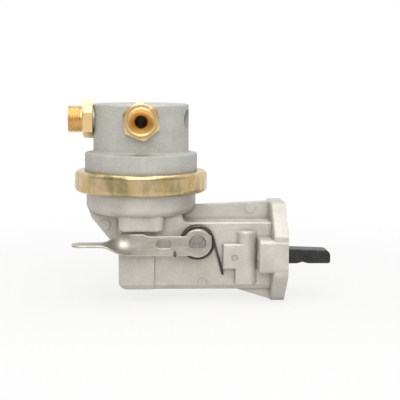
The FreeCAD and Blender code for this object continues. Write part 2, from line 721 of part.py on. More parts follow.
def make_fitting(label, front, hex_turn):
    body = add_body(label)
    stub_end = -(dim.washer_thickness + dim.stub_length)
    thread_start = dim.hex_thickness + dim.neck_length
    thread_end = thread_start + dim.thread_length
    barrel = polygon(body, "XZ_Plane", [
        (0, stub_end),
        (dim.stub_radius - dim.thread_chamfer, stub_end),
        (dim.stub_radius, stub_end + dim.thread_chamfer),
        (dim.stub_radius, dim.hex_thickness / 2),
        (dim.neck_radius, dim.hex_thickness / 2),
        (dim.neck_radius, thread_start),
        (dim.thread_radius - dim.thread_chamfer, thread_start),
        (dim.thread_radius, thread_start + dim.thread_chamfer),
        (dim.thread_radius, thread_end - dim.thread_chamfer),
        (dim.thread_radius - dim.thread_chamfer, thread_end),
        (0, thread_end),
    ])
    revolve(body, barrel, "V_Axis")
    corner = dim.hex_across_flats / 2 / cosine(as_size(HEX_HALF_ANGLE))
    flats = polygon(body, "XY_Plane", [
        (corner * cosine(hex_turn + 60 * side), corner * sine(hex_turn + 60 * side)) for side in range(6)
    ])
    pad(body, flats, dim.hex_thickness)
    bevel_radius = dim.hex_across_flats / 2 - dim.hex_bevel
    bevel_drop = (corner - bevel_radius) * tangent(as_size(HEX_HALF_ANGLE))
    bevels = polygon(body, "XZ_Plane", [
        (bevel_radius, dim.hex_thickness),
        (corner, dim.hex_thickness - bevel_drop),
        (corner, dim.hex_thickness),
    ])
    revolve(body, bevels, "V_Axis", cut=True)
    bore = polygon(body, "XZ_Plane", [
        (0, stub_end),
        (dim.fuel_bore_radius, stub_end),
        (dim.fuel_bore_radius, thread_end - dim.cone_depth),
        (dim.cone_radius, thread_end),
        (0, thread_end),
    ])
    revolve(body, bore, "V_Axis", cut=True)
    place(body, turned_out(front), union_seat(front))


def make_washer(label, front):
    body = add_body(label)
    ring = circles(body, "XY_Plane", [
        (dim.washer_radius, (0, 0)),
        (dim.stub_radius + dim.seat_gap, (0, 0)),
    ])
    pad(body, ring, dim.washer_thickness, reverse=True)
    place(body, turned_out(front), union_seat(front))


# Valves, made about +Z from the seat's face; the inlet's is turned over

def make_valve(name, upright, where):
    turn = Rotation() if upright else Rotation(Vector(1, 0, 0), 180)
    seat = add_body(f"{name}_seat")
    post_end = dim.valve_post_length + dim.valve_head_thickness
    profile = polygon(seat, "XZ_Plane", [
        (0, -dim.valve_seat_thickness),
        (dim.valve_radius, -dim.valve_seat_thickness),
        (dim.valve_radius, 0),
        (dim.valve_post_radius, 0),
        (dim.valve_post_radius, dim.valve_post_length),
        (dim.valve_head_radius, dim.valve_post_length),
        (dim.valve_head_radius, post_end),
        (0, post_end),
    ])
    revolve(seat, profile, "V_Axis")
    count = round(dim.valve_port_count.value)
    ports = circles(seat, "XY_Plane", [
        (dim.valve_port_radius, (
            dim.valve_port_circle * cosine(as_size(360 * port / count)),
            dim.valve_port_circle * sine(as_size(360 * port / count)),
        )) for port in range(count)
    ])
    pocket(seat, ports, dim.valve_seat_thickness)
    place(seat, turn, where)
    disc = add_body(f"{name}_disc")
    washer = circles(disc, "XY_Plane", [
        (dim.valve_disc_radius, (0, 0)),
        (dim.valve_post_radius + dim.running_gap, (0, 0)),
    ])
    pad(disc, washer, dim.valve_disc_thickness)
    place(disc, turn, where)
    spring = coil(dim.valve_spring_radius, dim.valve_spring_wire, dim.valve_spring_turns,
                  dim.valve_disc_thickness, dim.valve_post_length)
    add_feature(f"{name}_spring", spring, where, turn)


# Clamp ring and diaphragm stack, turned about the pump's axis

def make_clamp_ring():
    body = add_body("clamp_ring")
    inner = RIM_RADIUS + dim.ring_gap
    outer = inner + dim.ring_thickness
    top = RIM_TOP + dim.ring_thickness
    bottom = RIM_BOTTOM - dim.ring_thickness
    section = polygon(body, "XZ_Plane", [
        (STEP_RADIUS + dim.seat_gap, RIM_TOP),
        (inner, RIM_TOP),
        (inner, RIM_BOTTOM),
        (BOWL_RADIUS + dim.seat_gap, RIM_BOTTOM),
        (BOWL_RADIUS + dim.seat_gap, bottom),
        (outer, bottom),
        (outer, top),
        (STEP_RADIUS + dim.seat_gap, top),
    ], shift=(AXIS_X, 0, 0))
    revolve(body, section, "V_Axis")
    soften(body, [ring_at(top, outer), ring_at(bottom, outer)], dim.ring_round)


def make_diaphragm():
    body = add_body("diaphragm")
    fold_inner = dim.plate_radius + dim.fold_margin
    fold_outer = BOWL_RADIUS - dim.bowl_wall - dim.fold_margin
    lower = [
        (dim.rod_neck_radius, dim.joint_height),
        (fold_inner, dim.joint_height),
        (fold_inner + dim.fold_depth / 2, dim.joint_height - dim.fold_depth),
        (fold_outer - dim.fold_depth / 2, dim.joint_height - dim.fold_depth),
        (fold_outer, dim.joint_height),
        (RIM_RADIUS, dim.joint_height),
    ]
    upper = [(radius, height + dim.diaphragm_thickness) for radius, height in reversed(lower)]
    sheet_outline = polygon(body, "XZ_Plane", lower + upper, shift=(AXIS_X, 0, 0))
    revolve(body, sheet_outline, "V_Axis")


def make_plate(label, seat, thickness, up):
    """Makes a dished plate with its lip turned away from the diaphragm."""
    body = add_body(label)
    away = thickness if up else -thickness
    lip = dim.plate_lip / 2 if up else -dim.plate_lip / 2
    outline = polygon(body, "XZ_Plane", [
        (dim.rod_neck_radius, seat),
        (dim.plate_radius - dim.plate_lip, seat),
        (dim.plate_radius, seat + lip),
        (dim.plate_radius, seat + lip + away),
        (dim.plate_radius - dim.plate_lip, seat + away),
        (dim.rod_neck_radius, seat + away),
    ], shift=(AXIS_X, 0, 0))
    revolve(body, outline, "V_Axis")


def make_pull_rod():
    body = add_body("pull_rod")
    neck_top = UPPER_JOINT + dim.plate_upper_thickness
    foot = PIN_Z - dim.rod_tail
    outline = polygon(body, "XZ_Plane", [
        (0, foot),
        (dim.rod_radius - dim.running_gap, foot),
        (dim.rod_radius, foot + dim.rod_bevel),
        (dim.rod_radius, PLATE_LOW),
        (dim.rod_neck_radius, PLATE_LOW),
        (dim.rod_neck_radius, neck_top),
        (dim.rod_head_radius, neck_top),
        (dim.rod_head_radius - dim.rod_bevel, neck_top + dim.rod_head_thickness),
        (0, neck_top + dim.rod_head_thickness),
    ], shift=(AXIS_X, 0, 0))
    revolve(body, outline, "V_Axis")
    cross_hole = circle(body, "XZ_Plane", dim.cross_pin_radius, (AXIS_X, PIN_Z))
    pocket(body, cross_hole, dim.rod_radius * 4, midplane=True)


def make_cross_pin():
    body = add_body("rod_cross_pin")
    outline = circle(body, "XZ_Plane", dim.cross_pin_radius, (AXIS_X, PIN_Z))
    pad(body, outline, (LINK_OUTER + dim.cross_pin_proud) * 2, midplane=True)


def make_rod_seal():
    body = add_body("rod_seal")
    outline = circles(body, "XY_Plane", [
        (dim.seal_radius, (AXIS_X, 0)),
        (dim.rod_radius + dim.seat_gap, (AXIS_X, 0)),
    ], shift=(0, 0, GUIDE_TOP))
    pad(body, outline, dim.seal_thickness)
    cap = add_body("rod_seal_retainer")
    cap_inside = GUIDE_TOP + dim.seal_thickness
    section = polygon(cap, "XZ_Plane", [
        (dim.rod_radius + dim.ring_gap, cap_inside),
        (dim.guide_radius, cap_inside),
        (dim.guide_radius, GUIDE_TOP - dim.retainer_reach),
        (dim.guide_radius + dim.retainer_sheet, GUIDE_TOP - dim.retainer_reach),
        (dim.guide_radius + dim.retainer_sheet, cap_inside + dim.retainer_sheet),
        (dim.rod_radius + dim.ring_gap, cap_inside + dim.retainer_sheet),
    ], shift=(AXIS_X, 0, 0))
    revolve(cap, section, "V_Axis")


def make_diaphragm_spring():
    spring = coil(dim.diaphragm_spring_radius, dim.diaphragm_spring_wire, dim.diaphragm_spring_turns,
                  FLOOR_Z, PLATE_LOW)
    add_feature("diaphragm_spring", spring, (AXIS_X, 0, 0))


# Lower casting

def add_bowl(body):
    outline = polygon(body, "XZ_Plane", [
        (0, dim.housing_top),
        (dim.bowl_flat, dim.housing_top),
        (BOWL_RADIUS, BOWL_CORNER),
        (BOWL_RADIUS, RIM_BOTTOM),
        (RIM_RADIUS, RIM_BOTTOM),
        (RIM_RADIUS, dim.joint_height),
        (0, dim.joint_height),
    ], shift=(AXIS_X, 0, 0))
    round_corner(outline, 1, dim.bowl_corner)
    revolve(body, outline, "V_Axis")


def add_housing(body):
    """Adds the long box, its leg and the boss under the bowl."""
    box = polygon(body, "XZ_Plane", [
        (HOUSING_LEFT, -dim.housing_bottom),
        (-dim.flange_thickness / 2, -dim.housing_bottom),
        (-dim.flange_thickness / 2, dim.housing_top),
        (LEDGE_X + dim.web_half / 2, dim.housing_top),
        (LEDGE_X, BOWL_CORNER - dim.web_half / 4),
        (HOUSING_LEFT, BOWL_CORNER - dim.web_half / 4),
    ])
    pad(body, box, dim.housing_half * 2, midplane=True)
    soften(body, [line_at("y", x=LEDGE_X + dim.web_half / 2, z=dim.housing_top)], dim.ledge_root)
    soften(body, [line_at("x", y=side * dim.housing_half, z=dim.housing_top) for side in (-1, 1)], dim.cast_edge)
    low_edges = [line_at("x", y=side * dim.housing_half, z=-dim.housing_bottom) for side in (-1, 1)]
    soften(body, low_edges, dim.housing_chamfer, bevel=True)
    leg_half = dim.housing_half + dim.leg_proud
    leg = polygon(body, "XZ_Plane", [
        (HOUSING_LEFT, -dim.housing_bottom),
        (LEG_RIGHT, -dim.housing_bottom),
        (LEG_RIGHT, dim.neck_bottom + dim.neck_round),
        (HOUSING_LEFT, dim.neck_bottom + dim.neck_round),
    ])
    pad(body, leg, leg_half * 2, midplane=True)
    soften(body, [line_at("x", y=side * leg_half, z=-dim.housing_bottom) for side in (-1, 1)],
           dim.housing_chamfer, bevel=True)
    soften(body, [line_at("y", x=HOUSING_LEFT, z=-dim.housing_bottom)], dim.leg_round)
    neck = rounded_box(body, "XY_Plane", (HOUSING_LEFT, -dim.neck_front),
                       (NECK_RIGHT, dim.neck_front), dim.neck_round, (0, 0, dim.neck_bottom))
    pad(body, neck, BOWL_LOW - dim.neck_bottom)
    soften(body, [line_at("x", y=side * dim.neck_front, z=dim.neck_bottom) for side in (-1, 1)], dim.neck_edge)


def add_webs(body):
    """Adds the thin webs and their round ejector marks."""
    side_web = polygon(body, "XZ_Plane", [
        (AXIS_X - BOWL_RADIUS + dim.web_half / 2, BOWL_LOW - dim.web_half / 2),
        (HOUSING_LEFT - dim.side_web_reach, BOWL_LOW - dim.side_web_drop),
        (HOUSING_LEFT + dim.web_half, -dim.web_half),
        (HOUSING_LEFT + dim.web_half, BOWL_LOW - dim.web_half / 2),
    ])
    pad(body, side_web, dim.side_web_half * 2, midplane=True)
    side_mark = circle(body, "XZ_Plane", dim.eject_radius,
                       (HOUSING_LEFT - dim.side_web_reach / 2, BOWL_LOW - dim.side_web_drop * 1.6))
    pad(body, side_mark, (dim.side_web_half + dim.eject_proud) * 2, midplane=True)
    root = AXIS_X + BOWL_RADIUS - dim.bowl_wall - dim.bowl_corner
    long_web = polygon(body, "XZ_Plane", [
        (root, dim.housing_top - dim.web_half / 2),
        (-dim.flange_thickness / 2, dim.housing_top - dim.web_half / 2),
        (-dim.flange_thickness / 2, dim.flange_half_height),
        (root, dim.housing_top + dim.web_rise),
    ])
    pad(body, long_web, dim.web_half * 2, midplane=True)
    long_mark = circle(body, "XZ_Plane", dim.eject_radius,
                       (-dim.long_mark_setback, dim.flange_half_height - dim.eject_radius * 1.4))
    pad(body, long_mark, (dim.web_half + dim.eject_proud) * 2, midplane=True)
    gusset = polygon(body, "XZ_Plane", [
        (-dim.flange_thickness - dim.gusset_length, 1 - dim.housing_bottom),
        (-dim.flange_thickness - dim.gusset_length, -dim.housing_bottom),
        (-dim.flange_thickness, -dim.flange_half_height + dim.web_half / 2),
        (-dim.flange_thickness / 2, -dim.flange_half_height + dim.web_half / 2),
        (-dim.flange_thickness / 2, 1 - dim.housing_bottom),
    ])
    pad(body, gusset, (dim.housing_half - dim.housing_chamfer * 1.5) * 2, midplane=True)


def add_flange(body):
    flange = polygon(body, "YZ_Plane", [
        (-dim.flange_half_top, -dim.flange_half_height),
        (dim.flange_half_top, -dim.flange_half_height),
        (dim.flange_half_width, -dim.ear_half_height - dim.flange_shoulder),
        (dim.flange_half_width, dim.ear_half_height + dim.flange_shoulder),
        (dim.flange_half_top, dim.flange_half_height),
        (-dim.flange_half_top, dim.flange_half_height),
        (-dim.flange_half_width, dim.ear_half_height + dim.flange_shoulder),
        (-dim.flange_half_width, -dim.ear_half_height - dim.flange_shoulder),
    ], shift=(0, 0, -dim.flange_thickness))
    pad(body, flange, dim.flange_thickness)
    corners = [
        line_at("x", y=side * across, z=level * up)
        for side in (-1, 1) for level in (-1, 1)
        for across, up in (
            (dim.flange_half_top, dim.flange_half_height),
            (dim.flange_half_width, dim.ear_half_height + dim.flange_shoulder),
        )
    ]
    soften(body, corners, dim.flange_round)
    soften(body, [edge_at("x", -dim.flange_thickness)], dim.flange_edge)
    ear_half = dim.flange_half_width + dim.ear_proud
    ears = polygon(body, "YZ_Plane", [
        (-ear_half, -dim.ear_half_height),
        (ear_half, -dim.ear_half_height),
        (ear_half, dim.ear_half_height),
        (-ear_half, dim.ear_half_height),
    ], shift=(0, 0, -dim.ear_depth))
    pad(body, ears, dim.ear_depth)
    soften(body, [
        line_at("x", y=side * ear_half, z=level * dim.ear_half_height)
        for side in (-1, 1) for level in (-1, 1)
    ], dim.ear_round)
    soften(body, [edge_at("x", -dim.ear_depth)], dim.cast_edge)


def add_front_bosses(body):
    """Adds the stepped boss over the rocker pin, the round column and the primer's boss."""
    wall = dim.housing_half - 1
    step = PIN_X + dim.web_half / 5
    block = polygon(body, "XZ_Plane", [
        (-dim.block_left, dim.block_top),
        (-dim.block_left, -dim.block_bottom),
        (step, -dim.block_bottom),
        (step, -dim.column_bottom),
        (-dim.arm_spring_setback, -dim.column_bottom),
        (-dim.arm_spring_setback, dim.block_top),
    ], shift=(0, 0, wall))
    pad(body, block, BLOCK_FRONT - wall)
    soften(body, [
        line_at("x", y=-BLOCK_FRONT, z=dim.block_top),
        line_at("x", y=-BLOCK_FRONT, z=-dim.block_bottom),
        line_at("z", y=-BLOCK_FRONT, x=-dim.block_left),
    ], dim.cast_edge)
    column = circle(body, "XY_Plane", dim.column_radius,
                    (-dim.arm_spring_setback, dim.column_radius - BLOCK_FRONT), (0, 0, -dim.column_bottom))
    pad(body, column, dim.column_bottom + dim.column_top)
    soften(body, [ring_at(dim.column_top, dim.column_radius)], dim.column_edge)
    primer_boss = circle(body, "XZ_Plane", dim.primer_boss_radius, (PRIMER_X, dim.primer_height), (0, 0, wall))
    pad(body, primer_boss, BOSS_FRONT - wall)
    rear_primer = circle(body, "XZ_Plane", dim.primer_boss_radius, (PRIMER_X, dim.primer_height), (0, 0, -wall))
    pad(body, rear_primer, dim.primer_rear_boss + 1, reverse=True)
    rear_pin = circle(body, "XZ_Plane", dim.pin_boss_radius, (PIN_X, PIN_Z), (0, 0, -wall))
    pad(body, rear_pin, BLOCK_FRONT - wall, reverse=True)


def cut_bowl(body):
    inner = BOWL_RADIUS - dim.bowl_wall
    outline = polygon(body, "XZ_Plane", [
        (0, GUIDE_TOP),
        (dim.guide_radius, GUIDE_TOP),
        (dim.guide_radius, FLOOR_Z),
        (dim.floor_radius, FLOOR_Z),
        (inner - dim.bowl_corner + 1, BOWL_LOW - dim.bowl_corner + dim.bowl_wall * 0.9),
        (inner, BOWL_LOW + dim.bowl_wall * 0.9),
        (inner, dim.joint_height),
        (0, dim.joint_height),
    ], shift=(AXIS_X, 0, 0))
    revolve(body, outline, "V_Axis", cut=True)
    bore = circle(body, "XY_Plane", dim.rod_radius + dim.running_gap, (AXIS_X, 0), (0, 0, GUIDE_TOP))
    pocket(body, bore, GUIDE_TOP - CAVITY_TOP + dim.housing_wall)


def cut_cavity(body):
    """Opens the long cavity, its mouth in the flange and the inner bosses of the two shafts."""
    end = -dim.flange_thickness - dim.web_half
    cavity = polygon(body, "XZ_Plane", [
        (CAVITY_LEFT, CAVITY_LOW),
        (end, CAVITY_LOW),
        (end, CAVITY_TOP),
        (CAVITY_LEFT, CAVITY_TOP),
    ])
    pocket(body, cavity, CAVITY_HALF * 2, midplane=True)
    mouth = rounded_box(body, "YZ_Plane", (-dim.mouth_half, -dim.mouth_bottom),
                        (dim.mouth_half, dim.mouth_top), dim.mouth_round)
    pocket(body, mouth, dim.flange_thickness + dim.web_half * 2)
    for x, z, radius in ((PIN_X, PIN_Z, dim.pin_boss_radius), (PRIMER_X, dim.primer_height, dim.primer_inner_boss)):
        for side in (1, -1):
            boss = circle(body, "XZ_Plane", radius, (x, z), (0, 0, side * BOSS_INNER))
            pad(body, boss, CAVITY_HALF - BOSS_INNER + 1, reverse=side < 0)
    spring_pocket = circle(body, "XY_Plane", dim.arm_spring_radius + dim.arm_spring_wire,
                           (-dim.arm_spring_setback, 0), (0, 0, CAVITY_TOP))
    pocket(body, spring_pocket, dim.arm_spring_pocket, reverse=True)


def drill(body):
    """Drills the pin, the primer shaft with its seal groove, and the bolt holes."""
    pin_start = BLOCK_FRONT - dim.pin_cover
    pin_hole = circle(body, "XZ_Plane", dim.pin_radius, (PIN_X, PIN_Z), (0, 0, pin_start))
    pocket(body, pin_hole, pin_start + BLOCK_FRONT)
    stake = circle(body, "XZ_Plane", dim.stake_radius, (PIN_X, PIN_Z), (0, 0, BLOCK_FRONT))
    pocket(body, stake, dim.stake_depth)
    shaft_hole = circle(body, "XZ_Plane", dim.primer_shaft_radius + dim.running_gap,
                        (PRIMER_X, dim.primer_height), (0, 0, BOSS_FRONT))
    pocket(body, shaft_hole, BOSS_FRONT + dim.housing_half + dim.primer_rear_boss)
    groove = polygon(body, "YZ_Plane", [
        (-SEAL_Y - dim.seal_wire / 2 - dim.seat_gap, dim.primer_shaft_radius - 1),
        (-SEAL_Y + dim.seal_wire / 2 + dim.seat_gap, dim.primer_shaft_radius - 1),
        (-SEAL_Y + dim.seal_wire / 2 + dim.seat_gap, SEAL_GROOVE),
        (-SEAL_Y - dim.seal_wire / 2 - dim.seat_gap, SEAL_GROOVE),
    ], shift=(0, dim.primer_height, PRIMER_X))
    revolve(body, groove, "H_Axis", cut=True)
    bolts = circles(body, "YZ_Plane", [
        (dim.bolt_hole_radius, (side * dim.bolt_spacing / 2, 0)) for side in (-1, 1)
    ])
    pocket(body, bolts, dim.ear_depth)
    arch = circle(body, "XZ_Plane", dim.arch_radius,
                  (-dim.arch_setback, dim.arch_radius + dim.housing_chamfer / 2 - dim.housing_bottom),
                  (0, 0, dim.housing_half))
    pocket(body, arch, dim.eject_proud)


def make_lower_body():
    body = add_body("lower_body")
    add_flange(body)
    add_housing(body)
    add_bowl(body)
    add_webs(body)
    add_front_bosses(body)
    cut_bowl(body)
    cut_cavity(body)
    drill(body)


# Rocker arm, its pin, the link and the return spring

def make_rocker_arm():
    body = add_body("rocker_arm")
    low = dim.arm_top - dim.arm_depth
    toe_low = LINK_WEB_TOP + dim.seat_gap
    toe_end = PIN_X - dim.toe_reach
    pad_start = dim.arm_reach - dim.cam_pad_length
    outline = polygon(body, "XZ_Plane", [
        (dim.arm_reach, low + 1),
        (dim.arm_reach, dim.arm_top - dim.arm_nose_drop),
        (0, dim.arm_top),
        (-dim.arm_spring_setback + dim.arm_spring_radius * 1.5, dim.arm_spring_seat),
        (PIN_X + 1, dim.arm_spring_seat),
        (PIN_X, PIN_Z + dim.arm_hub_radius * 0.9),
        (PIN_X - dim.arm_hub_radius * 0.8, PIN_Z + dim.arm_hub_radius * 0.5),
        (toe_end + 1, toe_low + dim.toe_thickness),
        (toe_end, toe_low + dim.toe_thickness - 1),
        (toe_end, toe_low),
        (PIN_X - dim.arm_hub_radius * 0.8, toe_low),
        (PIN_X, low),
        (pad_start - dim.cam_pad_length / 2, low),
        (pad_start - dim.cam_pad_length / 4, low + dim.cam_waist),
        (pad_start, low),
        (dim.arm_reach - 1, low),
    ])
    pad(body, outline, dim.arm_half * 2, midplane=True)
    soften(body, [line_at("y", x=dim.arm_reach, z=dim.arm_top - dim.arm_nose_drop)], dim.arm_nose)
    sides = [edge_at("y", side * dim.arm_half) for side in (-1, 1)]
    seen = [lambda edge, flat=flat: flat(edge) and edge.BoundBox.XMax > 1 for flat in sides]
    soften(body, seen, dim.arm_edge)
    hub = circle(body, "XZ_Plane", dim.arm_hub_radius, (PIN_X, PIN_Z))
    pad(body, hub, dim.arm_half * 2, midplane=True)
    hole = circle(body, "XZ_Plane", dim.pin_radius + dim.running_gap, (PIN_X, PIN_Z))
    pocket(body, hole, dim.arm_half * 4, midplane=True)


def make_rocker_pin():
    body = add_body("rocker_pin")
    front = BLOCK_FRONT - dim.pin_cover
    outline = circle(body, "XZ_Plane", dim.pin_radius, (PIN_X, PIN_Z), (0, 0, front))
    pad(body, outline, front + BLOCK_FRONT - dim.stake_depth, reverse=True)


def make_link():
    """Makes the U-shaped link: two cheeks joined by a web under the arm's toe."""
    body = add_body("rocker_link")
    low = PIN_Z - dim.link_hub_radius
    web_right = PIN_X - dim.arm_hub_radius - dim.link_sheet / 2
    web_left = web_right - dim.link_web_length
    beyond = dim.link_hub_radius * 2
    outline = polygon(body, "XZ_Plane", [
        (PIN_X, low),
        (PIN_X, PIN_Z + dim.link_hub_radius * 0.95),
        (PIN_X - dim.link_hub_radius * 1.4, LINK_TOP),
        (PRIMER_X - dim.primer_shaft_radius * 1.5, LINK_TOP),
        (AXIS_X, PIN_Z + dim.link_end_radius * 0.9),
        (AXIS_X, PIN_Z - dim.link_end_radius * 0.9),
        (web_left, low),
    ])
    pad(body, outline, LINK_OUTER * 2, midplane=True)
    for radius, x in ((dim.link_hub_radius, PIN_X), (dim.link_end_radius, AXIS_X)):
        end = circle(body, "XZ_Plane", radius, (x, PIN_Z))
        pad(body, end, LINK_OUTER * 2, midplane=True)
    inside = polygon(body, "XZ_Plane", [
        (PIN_X + beyond, low - 1),
        (web_right, low - 1),
        (web_right, LINK_WEB_TOP),
        (web_left, LINK_WEB_TOP),
        (web_left, low - 1),
        (AXIS_X - beyond, low - 1),
        (AXIS_X - beyond, PIN_Z + beyond),
        (PIN_X + beyond, PIN_Z + beyond),
    ])
    pocket(body, inside, LINK_INNER * 2, midplane=True)
    hole = circle(body, "XZ_Plane", dim.pin_radius + dim.running_gap, (PIN_X, PIN_Z))
    pocket(body, hole, LINK_OUTER * 3, midplane=True)
    eye = slot(body, "XZ_Plane", dim.cross_pin_radius + dim.running_gap, dim.link_slot_travel, (AXIS_X, PIN_Z))
    pocket(body, eye, LINK_OUTER * 3, midplane=True)


def make_arm_spring():
    spring = coil(dim.arm_spring_radius, dim.arm_spring_wire, dim.arm_spring_turns,
                  dim.arm_spring_seat, CAVITY_TOP + dim.arm_spring_pocket)
    add_feature("rocker_return_spring", spring, (-dim.arm_spring_setback, 0, 0))


# Hand primer

def make_primer_shaft():
    body = add_body("primer_shaft")
    centre = (PRIMER_X, dim.primer_height)
    end = LEVER_FRONT + dim.shaft_proud
    outline = circle(body, "XZ_Plane", dim.primer_shaft_radius, centre, (0, 0, end))
    pad(body, outline, end + SHAFT_REAR, reverse=True)
    wide = dim.primer_shaft_radius + 1
    lever_seat = dim.lever_sheet + dim.shaft_proud
    for shift, length, midplane in ((end, lever_seat, False), (as_size(0), BOSS_INNER * 2, True)):
        flat = polygon(body, "XZ_Plane", [
            (PRIMER_X - wide, dim.primer_height - wide),
            (PRIMER_X + wide, dim.primer_height - wide),
            (PRIMER_X + wide, dim.primer_height - dim.primer_flat),
            (PRIMER_X - wide, dim.primer_height - dim.primer_flat),
        ], shift=(0, 0, shift))
        pocket(body, flat, length, midplane=midplane)
    groove = polygon(body, "YZ_Plane", [
        (CLIP_Y, dim.primer_shaft_radius - dim.clip_bite),
        (CLIP_Y + dim.clip_thickness, dim.primer_shaft_radius - dim.clip_bite),
        (CLIP_Y + dim.clip_thickness, wide),
        (CLIP_Y, wide),
    ], shift=(0, dim.primer_height, PRIMER_X))
    revolve(body, groove, "H_Axis", cut=True)
    soften(body, [edge_at("y", -end)], dim.shaft_proud / 2)
    dimple = circle(body, "XZ_Plane", dim.primer_shaft_radius / 4, centre, (0, 0, end))
    pocket(body, dimple, dim.lever_sheet / 2)


def make_clip():
    body = add_body("primer_shaft_clip")
    inner = dim.primer_shaft_radius - dim.clip_bite
    outline = circles(body, "XZ_Plane", [
        (dim.clip_radius, (PRIMER_X, dim.primer_height)),
        (inner, (PRIMER_X, dim.primer_height)),
    ], shift=(0, 0, -CLIP_Y))
    pad(body, outline, dim.clip_thickness, reverse=True)
    gap = polygon(body, "XZ_Plane", [
        (PRIMER_X - inner * 0.8, dim.primer_height),
        (PRIMER_X + inner * 0.8, dim.primer_height),
        (PRIMER_X + inner * 0.8, dim.primer_height - dim.clip_radius - 1),
        (PRIMER_X - inner * 0.8, dim.primer_height - dim.clip_radius - 1),
    ], shift=(0, 0, -CLIP_Y))
    pocket(body, gap, dim.clip_thickness, reverse=False)


def make_shaft_seal():
    """Makes the O-ring in the groove round the primer shaft."""
    ring = doc.addObject("Part::Torus", "primer_shaft_seal")
    ring.Label = "primer_shaft_seal"
    ring.setExpression("Radius1", SEAL_MEAN.text)
    ring.setExpression("Radius2", (dim.seal_wire / 2).text)
    place(ring, Rotation(Vector(1, 0, 0), 90), (PRIMER_X, -SEAL_Y, dim.primer_height))
    parts.append(ring)


def make_primer_lever():
    body = add_body("primer_lever")
    low = dim.primer_height - dim.lever_low
    middle = low + dim.lever_wide / 2
    twist_start = PRIMER_X - dim.lever_twist_start
    wide_start = PRIMER_X - dim.lever_wide_start
    centre = (PRIMER_X, dim.primer_height)
    back = (0, 0, LEVER_BACK)
    strip = polygon(body, "XZ_Plane", [
        (PRIMER_X, low),
        (PRIMER_X, low + dim.lever_width),
        (wide_start, low + dim.lever_width),
        (wide_start - dim.lever_taper, low + dim.lever_wide),
        (twist_start, low + dim.lever_wide),
        (twist_start, low),
    ], shift=back)
    pad(body, strip, dim.lever_sheet)
    eye = circle(body, "XZ_Plane", dim.lever_eye_radius, centre, back)
    pad(body, eye, dim.lever_sheet)
    tab = polygon(body, "XZ_Plane", [
        (PRIMER_X, dim.primer_height),
        (PRIMER_X + dim.lever_tab_side, dim.primer_height),
        (PRIMER_X + dim.lever_tab_side, dim.primer_height + dim.lever_tab_top),
        (PRIMER_X + dim.lever_eye_radius / 4, dim.primer_height + dim.lever_eye_radius * 0.96),
        (PRIMER_X, dim.primer_height + dim.lever_eye_radius * 0.9),
    ], shift=back)
    pad(body, tab, dim.lever_sheet)
    hole = circle(body, "XZ_Plane", dim.primer_shaft_radius, centre, (0, 0, LEVER_FRONT))
    pocket(body, hole, dim.lever_sheet)
    flat = polygon(body, "XZ_Plane", [
        (PRIMER_X - dim.primer_shaft_radius, dim.primer_height - dim.primer_shaft_radius - 1),
        (PRIMER_X + dim.primer_shaft_radius, dim.primer_height - dim.primer_shaft_radius - 1),
        (PRIMER_X + dim.primer_shaft_radius, dim.primer_height - dim.primer_flat),
        (PRIMER_X - dim.primer_shaft_radius, dim.primer_height - dim.primer_flat),
    ], shift=back)
    pad(body, flat, dim.lever_sheet)
    window = slot(body, "XZ_Plane", dim.lever_slot_width / 2,
                  (dim.lever_slot_length - dim.lever_slot_width) / 2,
                  (PRIMER_X - dim.lever_slot_offset, dim.primer_height), (0, 0, LEVER_FRONT))
    pocket(body, window, dim.lever_sheet)
    notch_half = dim.torsion_wire * 0.7
    notch_x = PRIMER_X - dim.torsion_hook_reach
    notch = polygon(body, "XZ_Plane", [
        (notch_x - notch_half, low - 1),
        (notch_x + notch_half, low - 1),
        (notch_x + notch_half, low + dim.hook_notch),
        (notch_x - notch_half, low + dim.hook_notch),
    ], shift=(0, 0, LEVER_FRONT))
    pocket(body, notch, dim.lever_sheet)
    add_twist(body, twist_start, middle)
    add_thumb_pad(body, twist_start - dim.lever_twist_length, middle)


def add_twist(body, start, middle):
    """Turns the strip through a quarter turn about its own middle line."""
    sections = []
    for station in range(TWIST_STATIONS + 1):
        share = station / TWIST_STATIONS
        width = dim.lever_wide + (dim.lever_pad_width - dim.lever_wide) * share
        turn = -90 * share * share * (3 - 2 * share)
        across = dim.lever_sheet / 2
        section = polygon(body, "YZ_Plane", [
            (-across, -width / 2),
            (across, -width / 2),
            (across, width / 2),
            (-across, width / 2),
        ])
        section.AttachmentOffset = Placement(Vector(), Rotation(Vector(0, 0, 1), turn))
        section.setExpression("AttachmentOffset.Base.x", (-LEVER_BACK - across).text)
        section.setExpression("AttachmentOffset.Base.y", middle.text)
        section.setExpression("AttachmentOffset.Base.z", (start - dim.lever_twist_length * share).text)
        sections.append(section)
    doc.recompute()
    loft = body.newObject("PartDesign::AdditiveLoft", "primer_lever_twist")
    loft.Profile = (sections[0], [""])
    loft.Sections = [(section, [""]) for section in sections[1:]]
    doc.recompute()


def add_thumb_pad(body, start, middle):
    centre_y = -LEVER_BACK - dim.lever_sheet / 2
    half = dim.lever_pad_width / 2
    outline = polygon(body, "XY_Plane", [
        (start, centre_y - half),
        (start, centre_y + half),
        (start - dim.lever_pad_length, centre_y + half),
        (start - dim.lever_pad_length, centre_y - half),
    ], shift=(0, 0, middle - dim.lever_sheet / 2))
    pad(body, outline, dim.lever_sheet)
    soften(body, [
        line_at("z", x=start - dim.lever_pad_length, y=centre_y + side * half) for side in (-1, 1)
    ], dim.lever_pad_width * 0.4)


